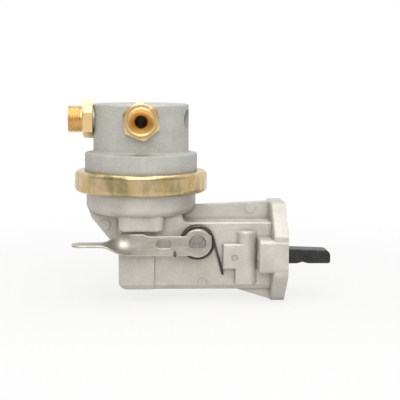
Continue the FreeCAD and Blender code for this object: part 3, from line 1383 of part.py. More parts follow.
def fillet_path(points, radius):
    """Gives the edges of a path through points with its corners rounded."""
    edges = []
    start = points[0]
    for index in range(1, len(points) - 1):
        corner = points[index]
        before = (corner - points[index - 1]).normalize()
        after = (points[index + 1] - corner).normalize()
        turn = before.getAngle(after)
        back = radius * math.tan(turn / 2)
        first = corner - before * back
        last = corner + after * back
        inward = (after - before).normalize()
        middle = corner + inward * (radius / math.cos(turn / 2) - radius)
        edges.append(Part.makeLine(start, first))
        edges.append(Part.Arc(first, middle, last).toShape())
        start = last
    edges.append(Part.makeLine(start, points[-1]))
    return edges


def make_torsion_spring():
    """Makes the spring round the primer's boss, in a frame with u = X, v = Z and w = -Y."""
    radius = dim.torsion_radius.value
    wire = dim.torsion_wire.value
    gap = dim.seat_gap.value
    slope = dim.torsion_pitch.value / (2 * math.pi * radius)
    lean = math.hypot(1, slope)
    rest_u = (-dim.block_left - PRIMER_X).value - wire / 2 - gap
    rest_v = -(dim.block_bottom + dim.primer_height).value
    rest_reach = math.hypot(rest_u, rest_v)
    long_turn = math.atan2(rest_v, rest_u) + math.acos(radius / rest_reach)
    long_leg = math.sqrt(rest_reach ** 2 - radius ** 2) + dim.torsion_leg_over.value
    hook_u = -dim.torsion_hook_reach.value
    hook_v = (dim.hook_notch - dim.lever_low - dim.side_play).value - wire / 2
    hook_reach = math.hypot(hook_u, hook_v)
    short_turn = math.atan2(hook_v, hook_u) - math.acos(radius / hook_reach) + 2 * math.pi
    short_leg = math.sqrt(hook_reach ** 2 - radius ** 2)
    turns = (short_turn - long_turn) / (2 * math.pi) + TORSION_TURNS
    start_w = dim.housing_half.value + wire / 2 + gap + slope * long_leg
    winding = coil_path(radius, dim.torsion_pitch.value, turns, long_turn, start_w)
    first = winding[0].valueAt(winding[0].FirstParameter)
    last = winding[-1].valueAt(winding[-1].LastParameter)
    first_heading = Vector(-math.sin(long_turn), math.cos(long_turn), slope) / lean
    last_heading = Vector(-math.sin(short_turn), math.cos(short_turn), slope) / lean
    leg_end = first - first_heading * long_leg
    hook = last + last_heading * (short_leg * lean)
    hook_front = Vector(hook.x, hook.y, (LEVER_FRONT + dim.side_play * 3).value + wire / 2)
    hook_top = Vector(hook.x, (dim.torsion_hook_top - dim.primer_height).value, hook_front.z)
    edges = [Part.makeLine(leg_end, first), *winding]
    edges += fillet_path([last, hook, hook_front, hook_top], dim.torsion_bend.value)
    path = Part.Wire(edges)
    section = Part.Wire(Part.makeCircle(wire / 2, leg_end, first_heading))
    spring = path.makePipeShell([section], True, False, 2)
    add_feature("primer_return_spring", spring, (PRIMER_X, 0, dim.primer_height), Rotation(Vector(1, 0, 0), 90))


def main():
    make_upper_body()
    make_fitting("outlet_fitting", True, dim.hex_turn_front)
    make_fitting("inlet_fitting", False, dim.hex_turn_side)
    make_washer("outlet_washer", True)
    make_washer("inlet_washer", False)
    make_valve("outlet_valve", True, (AXIS_X, -dim.valve_offset, OUTLET_SEAT))
    make_valve("inlet_valve", False, (AXIS_X - dim.valve_offset, as_size(0), INLET_SEAT))
    make_clamp_ring()
    make_diaphragm()
    make_plate("diaphragm_plate_upper", UPPER_JOINT, dim.plate_upper_thickness, True)
    make_plate("diaphragm_plate_lower", dim.joint_height, dim.plate_lower_thickness, False)
    make_pull_rod()
    make_cross_pin()
    make_rod_seal()
    make_diaphragm_spring()
    make_lower_body()
    make_rocker_arm()
    make_rocker_pin()
    make_link()
    make_arm_spring()
    make_primer_shaft()
    make_clip()
    make_shaft_seal()
    make_primer_lever()
    make_torsion_spring()
    doc.recompute()
    check_all()
    export_all()


def check_all():
    """Stops on any failed object or broken shape."""
    for thing in doc.Objects:
        if "Invalid" in thing.State or "Error" in thing.State:
            raise RuntimeError(f"{thing.Label} failed: {thing.State}")
    for piece in parts:
        if piece.Shape.isNull() or not piece.Shape.isValid() or not piece.Shape.Solids:
            raise RuntimeError(f"{piece.Label} has a broken shape")


def export_all():
    """Writes one file for each piece."""
    os.makedirs("parts", exist_ok=True)
    for piece in parts:
        piece.Shape.exportStep(f"parts/{piece.Label}.step")
        box = piece.Shape.BoundBox
        print(f"{piece.Label}: {len(piece.Shape.Solids)} solid, {piece.Shape.Volume:.1f} mm3, "
              f"X {box.XMin:.1f} {box.XMax:.1f} Y {box.YMin:.1f} {box.YMax:.1f} Z {box.ZMin:.1f} {box.ZMax:.1f}")


main()
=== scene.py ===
"""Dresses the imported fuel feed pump: finishes, unions, springs, primer lever, floor, light and camera."""

from __future__ import annotations

import json
import logging
import math
from dataclasses import dataclass
from enum import Enum

import bmesh
import bpy
from mathutils import Matrix, Vector

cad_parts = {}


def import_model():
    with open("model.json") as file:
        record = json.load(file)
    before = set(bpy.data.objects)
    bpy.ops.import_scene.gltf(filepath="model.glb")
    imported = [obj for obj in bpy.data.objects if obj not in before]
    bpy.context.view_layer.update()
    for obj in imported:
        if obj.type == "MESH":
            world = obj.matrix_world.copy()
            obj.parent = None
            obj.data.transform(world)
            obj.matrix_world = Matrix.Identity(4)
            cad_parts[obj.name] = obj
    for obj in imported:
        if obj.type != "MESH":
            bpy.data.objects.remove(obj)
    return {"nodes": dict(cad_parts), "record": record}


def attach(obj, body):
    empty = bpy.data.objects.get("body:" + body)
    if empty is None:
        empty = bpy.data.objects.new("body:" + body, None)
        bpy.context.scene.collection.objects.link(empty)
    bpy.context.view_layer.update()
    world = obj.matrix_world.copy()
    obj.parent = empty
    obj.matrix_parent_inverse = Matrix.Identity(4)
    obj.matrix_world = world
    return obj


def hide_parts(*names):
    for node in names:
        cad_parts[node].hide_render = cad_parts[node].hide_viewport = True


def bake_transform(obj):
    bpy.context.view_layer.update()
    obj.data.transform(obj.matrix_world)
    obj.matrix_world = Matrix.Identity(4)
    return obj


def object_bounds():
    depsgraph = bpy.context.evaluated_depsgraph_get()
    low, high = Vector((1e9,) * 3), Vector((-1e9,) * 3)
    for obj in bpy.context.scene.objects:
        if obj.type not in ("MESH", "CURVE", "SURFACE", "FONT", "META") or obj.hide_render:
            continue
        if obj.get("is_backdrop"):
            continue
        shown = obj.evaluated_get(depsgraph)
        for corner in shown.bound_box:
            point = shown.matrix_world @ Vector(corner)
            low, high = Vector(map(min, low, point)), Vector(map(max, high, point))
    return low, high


LOG = logging.getLogger("pump")

Tree = bpy.types.NodeTree
Node = bpy.types.Node
Socket = bpy.types.NodeSocket
Place = tuple[float, float, float]

MM = 0.001

# Places in the record's frame, in millimetres
PUMP_AXIS_X = -94.0
PORT_HEIGHT = 86.0
UNION_REACH = 31.4
VALVE_REACH = 14.0
ARM_SPRING_X = -25.6
PRIMER_X = -57.9
PRIMER_HEIGHT = 8.0
LEVER_MIDDLE_Y = -28.85

# Millimetres within which two places count as one
TOUCH = 0.001

# A Mix node's number, vector and colour sockets share their names, so the colour ones go by number
FIRST_COLOUR, SECOND_COLOUR, MIXED_COLOUR = 6, 7, 2

WHITE = "#FFFFFF"


# Colour and nodes


def linear(code: str) -> tuple[float, float, float, float]:
    """Turns an sRGB hex colour to linear light.

    Args:
        code: the colour as "#RRGGBB".

    Returns:
        Linear red, green, blue and an alpha of 1.
    """
    parts = [int(code[i:i + 2], 16) / 255 for i in (1, 3, 5)]
    red, green, blue = (c / 12.92 if c <= 0.04045 else ((c + 0.055) / 1.055) ** 2.4 for c in parts)
    return red, green, blue, 1.0


def add_node(tree: Tree, kind: str, settings: dict | None = None, links: dict | None = None) -> Node:
    """Adds a node with its settings and links.

    Args:
        tree: the node tree.
        kind: the node's type name without its ShaderNode prefix.
        settings: attribute names, or input names or numbers, with their values.
        links: input names or numbers, with the output sockets that feed them.

    Returns:
        The new node.
    """
    node = tree.nodes.new(f"ShaderNode{kind}")
    for key, value in (settings or {}).items():
        if isinstance(key, str) and hasattr(node, key):
            setattr(node, key, value)
        else:
            node.inputs[key].default_value = value
    for key, socket in (links or {}).items():
        tree.links.new(socket, node.inputs[key])
    return node


def lay_tone(tree: Tree, under: Socket | str, tone: str, value: Socket, span: tuple[float, float],
             most: float = 1.0) -> Socket:
    """Lays a tone over a colour, more of it as a value passes through a span.

    Args:
        tree: the node tree.
        under: the colour below, as hex or a socket.
        tone: the hex colour that is laid over it.
        value: what decides how much of it shows.
        span: the values at which none and most of it shows.
        most: the largest share of it.

    Returns:
        The mixed colour.
    """
    share = add_node(
        tree, "MapRange", {"From Min": span[0], "From Max": span[1], "To Max": most}, {"Value": value}
    )
    mix = add_node(
        tree, "Mix", {"data_type": "RGBA", SECOND_COLOUR: linear(tone)}, {"Factor": share.outputs["Result"]}
    )
    if isinstance(under, str):
        mix.inputs[FIRST_COLOUR].default_value = linear(under)
    else:
        tree.links.new(under, mix.inputs[FIRST_COLOUR])
    return mix.outputs[MIXED_COLOUR]


def white_share(tree: Tree, paper: Socket) -> Socket:
    """Gives how much of the white paper a ray sees: all of it from the camera, its back part in a mirror.

    Args:
        tree: the node tree.
        paper: 1 where a mirror shows the paper and 0 where it shows the room.

    Returns:
        The share, 0 to 1.
    """
    ray = add_node(tree, "LightPath").outputs
    mirrored = add_node(
        tree, "Math", {"operation": "MAXIMUM"},
        {0: ray["Is Glossy Ray"], 1: ray["Is Transmission Ray"]},
    )
    backdrop = add_node(tree, "Math", {"operation": "MULTIPLY"}, {0: mirrored.outputs["Value"], 1: paper})
    shown = add_node(
        tree, "Math", {"operation": "MAXIMUM"}, {0: ray["Is Camera Ray"], 1: backdrop.outputs["Value"]}
    )
    return shown.outputs["Value"]


@dataclass(frozen=True)
class Mottle:
    """Soft patches of one tone over another colour.

    Attributes:
        tone: the patches' hex colour.
        width_mm: how wide a patch is.
        span: the noise at which a patch sets in and is at its full share.
        share: how much of the tone shows there.
        layers, layer_strength: how many finer layers the noise has, and how strong they are.
    """

    tone: str
    width_mm: float
    span: tuple[float, float] = (0.35, 0.65)
    share: float = 1.0
    layers: float = 4.0
    layer_strength: float = 0.6

    def lay(self, tree: Tree, place: Socket, under: Socket | str) -> Socket:
        """Lays the patches over a colour.

        Args:
            tree: the material's tree.
            place: the coordinates that they follow.
            under: the colour below, as hex or a socket.

        Returns:
            The colour.
        """
        noise = add_node(
            tree, "TexNoise",
            {"Scale": 1 / (self.width_mm * MM), "Detail": self.layers, "Roughness": self.layer_strength},
            {"Vector": place},
        )
        return lay_tone(tree, under, self.tone, noise.outputs["Fac"], self.span, self.share)


@dataclass(frozen=True)
class Specks(Mottle):
    """Small patches with clear edges and few finer layers."""

    span: tuple[float, float] = (0.60, 0.72)
    layers: float = 2.0
    layer_strength: float = 0.5


@dataclass(frozen=True)
class Finish:
    """A metal or rubber surface: two tones that drift into each other, and a fine grain.

    Real blasting grit, turning marks and rolling marks are 0.05 to 0.2 mm wide, too fine for a photograph
    with 0.67 mm in a pixel, so the grains are drawn 0.35 to 0.9 mm wide.

    Attributes:
        tone, patches: the colour, and the second one that it drifts into.
        grain_mm, grain_height_mm, grain_strength: the grain's width, height and force.
        stretch: how the marks are drawn out; an axis with less than 1 has longer marks.
        polish_spread: how far the grain moves the roughness either way.
        edge_mm, edge_rub_highlight_tone, edge_rub_highlight_share: the rounding of the edges, and how much
        they are lightened, partly as rubbed wear and partly as a painted highlight.
        crease_shade_mm, crease_shade_tone, crease_shade_share: the painted shade that darkens inner corners,
        its reach, tone and share.
        edge_rub_highlight_span, crease_shade_span: the bend and the openness at which they set in and are at
        their full share.
        specks: bright grit, if it has any.
    """

    name: str
    tone: str
    patches: Mottle
    metallic: float
    roughness: float
    grain_mm: float
    grain_height_mm: float
    grain_strength: float
    stretch: Place = (1.0, 1.0, 1.0)
    polish_spread: float = 0.08
    edge_mm: float = 0.35
    # Edge lightening: partly rubbed wear, partly a painted highlight
    edge_rub_highlight_tone: str = WHITE
    edge_rub_highlight_share: float = 0.0
    edge_rub_highlight_span: tuple[float, float] = (0.995, 0.93)
    edge_samples: int = 6
    # Painted shade in inner corners
    crease_shade_mm: float = 2.5
    crease_shade_tone: str = "#5E5A54"
    crease_shade_share: float = 0.0
    crease_shade_span: tuple[float, float] = (0.95, 0.45)
    crease_shade_samples: int = 8
    specks: Mottle | None = None

    def build(self) -> bpy.types.Material:
        """Makes the material.

        Returns:
            The node material.
        """
        material = bpy.data.materials.new(self.name)
        material.use_nodes = True
        tree = material.node_tree
        tree.nodes.clear()
        plain = add_node(tree, "TexCoord").outputs["Object"]
        drawn = add_node(tree, "Mapping", {"Scale": self.stretch}, {"Vector": plain}).outputs["Vector"]
        rounded = add_node(
            tree, "Bevel", {"samples": self.edge_samples, "Radius": self.edge_mm * MM}
        ).outputs["Normal"]
        tone = self.colour(tree, plain, drawn)
        # Lightens the edges: rubbed wear and a painted highlight
        if self.edge_rub_highlight_share:
            tone = self.rub_and_highlight_edges(tree, tone, rounded)
        # Darkens inner corners with painted shade
        if self.crease_shade_share:
            tone = self.paint_crease_shade(tree, tone)
        grain = self.grain(tree, drawn)
        polish = add_node(
            tree, "MapRange",
            {"To Min": self.roughness - self.polish_spread, "To Max": self.roughness + self.polish_spread},
            {"Value": grain},
        )
        bump = add_node(
            tree, "Bump",
            {"Strength": self.grain_strength, "Distance": self.grain_height_mm * MM},
            {"Height": grain, "Normal": rounded},
        )
        shader = add_node(
            tree, "BsdfPrincipled", {"Metallic": self.metallic},
            {"Base Color": tone, "Roughness": polish.outputs["Result"], "Normal": bump.outputs["Normal"]},
        )
        add_node(tree, "OutputMaterial", links={"Surface": shader.outputs["BSDF"]})
        return material

    def grain(self, tree: Tree, place: Socket) -> Socket:
        """Makes the height of the fine grain.

        Args:
            tree: the material's tree.
            place: the coordinates that it follows.

        Returns:
            The height, 0 to 1.
        """
        noise = add_node(
            tree, "TexNoise", {"Scale": 1 / (self.grain_mm * MM), "Detail": 3.0, "Roughness": 0.55},
            {"Vector": place},
        )
        return noise.outputs["Fac"]

    def colour(self, tree: Tree, plain: Socket, drawn: Socket) -> Socket:
        """Mixes the two tones in soft patches and strews the specks.

        Args:
            tree: the material's tree.
            plain: Object coordinates.
            drawn: Object coordinates drawn out along the surface's marks.

        Returns:
            The colour.
        """
        tone = self.patches.lay(tree, drawn, self.tone)
        return self.specks.lay(tree, plain, tone) if self.specks else tone

    def rub_and_highlight_edges(self, tree: Tree, tone: Socket, rounded: Socket) -> Socket:
        """Brightens the edges: partly wear, where handling and tumbling have rubbed the surface, and partly
        a painted highlight, where rounded edges catch the light.

        Args:
            tree: the material's tree.
            tone: the colour so far.
            rounded: the normal with rounded edges.

        Returns:
            The colour.
        """
        surface = add_node(tree, "NewGeometry")
        bend = add_node(
            tree, "VectorMath", {"operation": "DOT_PRODUCT"}, {0: rounded, 1: surface.outputs["Normal"]}
        )
        return lay_tone(tree, tone, self.edge_rub_highlight_tone, bend.outputs["Value"], self.edge_rub_highlight_span, self.edge_rub_highlight_share)

    def paint_crease_shade(self, tree: Tree, tone: Socket) -> Socket:
        """Darkens inner corners with painted shade, by how hemmed in the surface is.

        Args:
            tree: the material's tree.
            tone: the colour so far.

        Returns:
            The colour.
        """
        near = add_node(
            tree, "AmbientOcclusion", {"samples": self.crease_shade_samples, "Distance": self.crease_shade_mm * MM}
        )
        openness = near.outputs["AO"]
        return lay_tone(tree, tone, self.crease_shade_tone, openness, self.crease_shade_span, self.crease_shade_share)


@dataclass(frozen=True)
class YellowChromate(Finish):
    """Zinc with a yellow chromate: pale gold that turns green and rose in upright streaks."""

    green: Mottle = Mottle("#958F66", 9.0, span=(0.46, 0.62), share=0.7, layers=5.0, layer_strength=0.65)
    rose: Mottle = Mottle("#DDBFA4", 15.3, span=(0.50, 0.66), share=0.6, layers=5.0, layer_strength=0.65)

    def colour(self, tree: Tree, plain: Socket, drawn: Socket) -> Socket:
        """Mixes gold, green and rose.

        Args:
            tree: the material's tree.
            plain: Object coordinates.
            drawn: Object coordinates drawn out along the surface's marks.

        Returns:
            The colour.
        """
        gold = super().colour(tree, plain, drawn)
        return self.rose.lay(tree, drawn, self.green.lay(tree, drawn, gold))


class Metal(Enum):
    """The record's material slots."""

    UPPER_CASTING = "upper_casting"
    LOWER_CASTING = "lower_casting"
    BRASS = "brass"
    WASHER = "washer"
    VALVE_PLASTIC = "valve_plastic"
    SPRING_STEEL = "spring_steel"
    DARK_SPRING = "dark_spring"
    YELLOW_ZINC = "yellow_zinc"
    ZINC_STEEL = "zinc_steel"
    LEVER_ZINC = "lever_zinc"
    PLAIN_STEEL = "plain_steel"
    BLACK_ARM = "black_arm"
    DIAPHRAGM_CLOTH = "diaphragm_cloth"
    SEAL_RUBBER = "seal_rubber"


FINISHES: dict[Metal, Finish] = {
    # Die-cast aluminium, shot-blasted: a cool grey without shine, with a fine grit and bright specks;
    # painted shade darkens its inner corners and its edges are lightened a little, partly as wear and partly
    # as a painted highlight
    Metal.UPPER_CASTING: Finish(
        "blasted_casting", "#BDBDB7", Mottle("#B0B0AB", 9.0), metallic=0.3, roughness=0.56,
        grain_mm=0.6, grain_height_mm=0.08, grain_strength=0.7,
        edge_mm=0.5, edge_rub_highlight_tone="#C8C8C2", edge_rub_highlight_share=0.1, crease_shade_share=0.35,
        specks=Specks("#DADCD6", 0.75, share=0.8),
    ),
    # Die-cast aluminium as it leaves the die and the tumbler: warm, pale and a little satin; painted shade
    # darkens its inner corners and its edges are lightened, partly as wear and partly as a painted highlight
    Metal.LOWER_CASTING: Finish(
        "tumbled_casting", "#C8C5BD", Mottle("#B9B6AD", 14.0), metallic=0.3, roughness=0.44,
        grain_mm=0.9, grain_height_mm=0.04, grain_strength=0.5,
        edge_mm=0.5, edge_rub_highlight_tone="#E2DFD8", edge_rub_highlight_share=0.5, crease_shade_share=0.4,
        specks=Specks("#DDD9D1", 1.6, share=0.35),
    ),
    # Free-cutting brass, turned and milled: a bright warm yellow with a fine tool grain
    Metal.BRASS: Finish(
        "turned_brass", "#EFD3A0", Mottle("#E8C68C", 6.0), metallic=1.0, roughness=0.33,
        grain_mm=0.35, grain_height_mm=0.004, grain_strength=0.2, polish_spread=0.04,
    ),
    # Soft aluminium, punched: the dull pale grey of a sealing ring
    Metal.WASHER: Finish(
        "soft_aluminium", "#A9A9A4", Mottle("#9D9D98", 4.0), metallic=0.9, roughness=0.42,
        grain_mm=0.4, grain_height_mm=0.01, grain_strength=0.3,
    ),
    # Acetal, moulded: a waxy cream with little shine
    Metal.VALVE_PLASTIC: Finish(
        "moulded_disc", "#B0A68A", Mottle("#A59B80", 5.0), metallic=0.0, roughness=0.5,
        grain_mm=0.5, grain_height_mm=0.01, grain_strength=0.2,
    ),
    # Spring steel, drawn and coiled: a plain grey shine along the wire
    Metal.SPRING_STEEL: Finish(
        "spring_wire", "#A09C96", Mottle("#8C8882", 3.0), metallic=0.9, roughness=0.35,
        grain_mm=0.4, grain_height_mm=0.01, grain_strength=0.3, edge_mm=0.05,
    ),
    # Spring steel, oil-hardened: brown-black with a thin oily shine
    Metal.DARK_SPRING: Finish(
        "oiled_spring_wire", "#6C6761", Mottle("#524D48", 3.0), metallic=0.85, roughness=0.34,
        grain_mm=0.4, grain_height_mm=0.01, grain_strength=0.3, edge_mm=0.05,
    ),
    # Zinc-plated steel with a yellow chromate, spun over the rims: gold that drifts to green and rose, with
    # edges lightened, partly as wear and partly as a painted highlight
    Metal.YELLOW_ZINC: YellowChromate(
        "yellow_chromate", "#D6C297", Mottle("#C4A976", 10.0), metallic=0.85, roughness=0.26,
        grain_mm=0.6, grain_height_mm=0.004, grain_strength=0.2, stretch=(1.0, 1.0, 0.6), polish_spread=0.04,
        edge_mm=0.6, edge_rub_highlight_tone="#EFE6CC", edge_rub_highlight_share=0.6,
    ),
    # Zinc-plated sheet, pressed: pale grey with a soft shine
    Metal.ZINC_STEEL: Finish(
        "plated_sheet", "#BEBBB2", Mottle("#B0ADA4", 8.0), metallic=0.85, roughness=0.36,
        grain_mm=0.5, grain_height_mm=0.01, grain_strength=0.3,
    ),
    # Zinc-plated strip, stamped and tumbled: lengthways rolling marks and bright edges, partly rubbed and
    # partly a painted highlight
    Metal.LEVER_ZINC: Finish(
        "plated_lever", "#C6C2B8", Mottle("#ABA69A", 5.0), metallic=0.9, roughness=0.42,
        grain_mm=0.45, grain_height_mm=0.02, grain_strength=0.5, stretch=(0.4, 1.0, 1.0),
        edge_mm=0.9, edge_rub_highlight_tone="#F7F5EF", edge_rub_highlight_share=0.9,
    ),
    # Bare steel pins, ground: a neutral grey with a dull shine
    Metal.PLAIN_STEEL: Finish(
        "ground_steel", "#A09E99", Mottle("#8A8781", 3.0), metallic=0.85, roughness=0.36,
        grain_mm=0.4, grain_height_mm=0.02, grain_strength=0.4,
    ),
    # Forged steel with a black oxide: nearly black, with scale marks and edges lightened to grey, partly
    # rubbed and partly a painted highlight
    Metal.BLACK_ARM: Finish(
        "black_oxide", "#3A3A38", Mottle("#2A2A28", 7.0), metallic=0.5, roughness=0.38,
        grain_mm=0.8, grain_height_mm=0.06, grain_strength=0.5,
        edge_mm=0.7, edge_rub_highlight_tone="#9C9A94", edge_rub_highlight_share=0.8,
        specks=Specks("#5C5B57", 1.4, share=0.6),
    ),
    # Rubbered cloth, calendered: matt black-brown
    Metal.DIAPHRAGM_CLOTH: Finish(
        "rubbered_cloth", "#2A2926", Mottle("#23221F", 4.0), metallic=0.0, roughness=0.7,
        grain_mm=0.5, grain_height_mm=0.05, grain_strength=0.5,
    ),
    # Nitrile rubber, moulded: black with a dull skin
    Metal.SEAL_RUBBER: Finish(
        "moulded_rubber", "#222120", Mottle("#1C1B1A", 4.0), metallic=0.0, roughness=0.6,
        grain_mm=0.5, grain_height_mm=0.01, grain_strength=0.2,
    ),
}


# Shapes


def finish_mesh(bm: bmesh.types.BMesh, name: str, material: bpy.types.Material,
                angle: float = 32.0) -> bpy.types.Object:
    """Turns a bmesh into a smooth piece with its sharp edges kept.

    Args:
        bm: the mesh, which is freed.
        name: the piece's name.
        material: its finish.
        angle: edges sharper than this many degrees stay sharp.

    Returns:
        The new object.
    """
    bmesh.ops.recalc_face_normals(bm, faces=bm.faces)
    mesh = bpy.data.meshes.new(name)
    bm.to_mesh(mesh)
    bm.free()
    mesh.shade_smooth()
    mesh.set_sharp_from_angle(angle=math.radians(angle))
    mesh.materials.append(material)
    piece = bpy.data.objects.new(name, mesh)
    bpy.context.scene.collection.objects.link(piece)
    return piece


@dataclass(frozen=True)
class WorkingSpring:
    """A coil spring, copied from its CAD node; in the pump one end stays in the housing and the other
    follows its joint.

    The ends are places on its axis, in millimetres; they are not used.
    """

    node: str
    metal: Metal
    follows: str
    seated_end: Place
    moving_end: Place

    def build(self, nodes: dict[str, bpy.types.Object], material: bpy.types.Material) -> bpy.types.Object:
        """Copies the node's coil in its place and hides the node.

        Args:
            nodes: the CAD nodes by name.
            material: its wire.

        Returns:
            The spring.
        """
        bm = bmesh.new()
        bm.from_mesh(nodes[self.node].data)
        bmesh.ops.transform(bm, matrix=nodes[self.node].matrix_world, verts=bm.verts)
        bmesh.ops.remove_doubles(bm, verts=bm.verts, dist=TOUCH * MM)
        spring = finish_mesh(bm, f"{self.node}_coil", material, angle=50)
        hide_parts(self.node)
        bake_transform(spring)
        return spring


SPRINGS = (
    WorkingSpring(
        "primer_return_spring", Metal.DARK_SPRING, "primer",
        seated_end=(PRIMER_X, -21.6, PRIMER_HEIGHT), moving_end=(PRIMER_X, -25.6, PRIMER_HEIGHT),
    ),
    WorkingSpring(
        "diaphragm_spring", Metal.SPRING_STEEL, "diaphragm_rod",
        seated_end=(PUMP_AXIS_X, 0.0, 25.0), moving_end=(PUMP_AXIS_X, 0.0, 43.5),
    ),
    WorkingSpring(
        "rocker_return_spring", Metal.SPRING_STEEL, "rocker",
        seated_end=(ARM_SPRING_X, 0.0, 17.5), moving_end=(ARM_SPRING_X, 0.0, 4.6),
    ),
    WorkingSpring(
        "inlet_valve_spring", Metal.SPRING_STEEL, "inlet_disc",
        seated_end=(PUMP_AXIS_X - VALVE_REACH, 0.0, 60.7), moving_end=(PUMP_AXIS_X - VALVE_REACH, 0.0, 67.0),
    ),
    WorkingSpring(
        "outlet_valve_spring", Metal.SPRING_STEEL, "outlet_disc",
        seated_end=(PUMP_AXIS_X, -VALVE_REACH, 70.8), moving_end=(PUMP_AXIS_X, -VALVE_REACH, 64.5),
    ),
)


@dataclass
class ScrewedUnion:
    """A turned brass union: stub, hexagon, relief, thread and cone seat.

    Sizes are in millimetres, and distances along the axis start at the hexagon's seat.

    Attributes:
        hex_turn: the hexagon's turn about the axis, in degrees.
        steps: the parts of a full turn.
        corner_circle: how far inside the flats the bevel of the corners starts.
        corner_depth: the length of the hexagon that the bevel reaches, cut into corner_rings.
        corner_lean: the bevel's angle from the end face's normal, in degrees.
        flank, crest: how steeply the thread's flank drops, and how much of the drop its flat crest takes.
        rim_depth: how far the rounded rim reaches back.
        throat_widening, throat_depth: the small bevel where the cone meets the bore.
    """

    name: str
    node: str
    seat: Vector
    direction: Vector
    hex_turn: float
    steps: int = 96
    stub_radius: float = 7.0
    stub_length: float = 7.9
    stub_bevel: float = 0.4
    across_flats: float = 22.0
    hex_height: float = 6.6
    corner_circle: float = 0.3
    corner_depth: float = 1.6
    corner_rings: int = 8
    corner_lean: float = 60.0
    relief_radius: float = 8.0
    relief_length: float = 1.1
    relief_bevel: float = 0.3
    thread_radius: float = 9.0
    thread_length: float = 8.3
    thread_depth: float = 0.86
    thread_bevel: float = 0.4
    pitch: float = 1.5
    rings_a_turn: int = 10
    flank: float = 1.25
    crest: float = 0.12
    rim_depth: float = 0.55
    rim_rings: int = 12
    cone_radius: float = 7.4
    cone_depth: float = 4.6
    bore: float = 3.95
    throat_widening: float = 0.15
    throat_depth: float = 0.3

    def profile(self) -> list[tuple[float, float]]:
        """Gives the half section, from the bore's inner end round the outside to the cone.

        Returns:
            Radius and distance along the axis of each corner.
        """
        flat = self.across_flats / 2
        relief_end = self.hex_height + self.relief_length
        end = relief_end + self.thread_length
        points = [
            (self.bore, -self.stub_length),
            (self.stub_radius - self.stub_bevel, -self.stub_length),
            (self.stub_radius, -self.stub_length + self.stub_bevel),
            (self.stub_radius, 0.0),
            (flat, 0.0),
        ]
        for i in range(self.corner_rings + 1):
            back = self.corner_depth * i / self.corner_rings
            points.append((flat, self.hex_height - self.corner_depth + back))
        points += [
            (flat - self.corner_circle, self.hex_height),
            (self.relief_radius + self.relief_bevel, self.hex_height),
            (self.relief_radius, self.hex_height + self.relief_bevel),
            (self.relief_radius, relief_end),
        ]
        rings = int(self.thread_length / self.pitch * self.rings_a_turn)
        run = self.thread_length - self.rim_depth
        for i in range(rings + 1):
            points.append((self.thread_radius, end - self.thread_length + run * i / rings))
        half = (self.thread_radius - self.cone_radius) / 2
        for i in range(1, self.rim_rings + 1):
            turn = math.pi * i / self.rim_rings
            out = self.cone_radius + half + half * math.cos(turn)
            points.append((out, end - self.rim_depth + self.rim_depth * math.sin(turn)))
        cone_end = end - self.cone_depth
        points += [(self.bore + self.throat_widening, cone_end), (self.bore, cone_end - self.throat_depth)]
        return points

    def shaped(self, radius: float, along: float, angle: float) -> float:
        """Cuts the hexagon and the thread into the turned blank.

        Args:
            radius: the blank's radius there.
            along: the distance along the axis.
            angle: the angle round the axis.

        Returns:
            The finished radius.
        """
        flat = self.across_flats / 2
        if 0.0 <= along <= self.hex_height and radius >= flat - TOUCH:
            side = math.tau / 6
            within = (angle + side / 2) % side - side / 2
            lean = math.tan(math.radians(self.corner_lean))
            bevel = flat - self.corner_circle + (self.hex_height - along) * lean
            return min(flat / math.cos(within), bevel)
        start = self.hex_height + self.relief_length
        end = start + self.thread_length - self.rim_depth
        if start <= along <= end + TOUCH and radius >= self.thread_radius - TOUCH:
            turn = along / self.pitch - angle / math.tau
            wave = abs((turn % 1.0) * 2 - 1)
            cut = min(max(wave * self.flank - self.crest, 0.0), 1.0) * self.thread_depth
            edge = min(along - start, end - along)
            return self.thread_radius - max(cut, self.thread_bevel - edge)
        return radius

    def build(self, material: bpy.types.Material) -> bpy.types.Object:
        """Spins the blank, cuts hexagon and thread, and puts it in its seat.

        Args:
            material: the brass.

        Returns:
            The union.
        """
        bm = bmesh.new()
        corners = [bm.verts.new((radius, 0, along)) for radius, along in self.profile()]
        edges = [bm.edges.new(pair) for pair in zip(corners, corners[1:] + corners[:1])]
        bmesh.ops.spin(
            bm, geom=corners + edges, cent=(0, 0, 0), axis=(0, 0, 1), dvec=(0, 0, 0),
            angle=math.tau, steps=self.steps, use_merge=True,
        )
        for vert in bm.verts:
            radius = math.hypot(vert.co.x, vert.co.y)
            angle = math.atan2(vert.co.y, vert.co.x)
            new = self.shaped(radius, vert.co.z, angle)
            vert.co.x *= new / radius
            vert.co.y *= new / radius
        turn = Matrix.Rotation(math.radians(self.hex_turn), 4, "Z")
        stand = self.direction.to_track_quat("Z", "Y").to_matrix().to_4x4()
        place = Matrix.Translation(self.seat * MM) @ stand @ turn @ Matrix.Scale(MM, 4)
        bmesh.ops.transform(bm, matrix=place, verts=bm.verts)
        union = finish_mesh(bm, self.name, material, angle=28)
        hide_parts(self.node)
        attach(union, "housing")
        return union


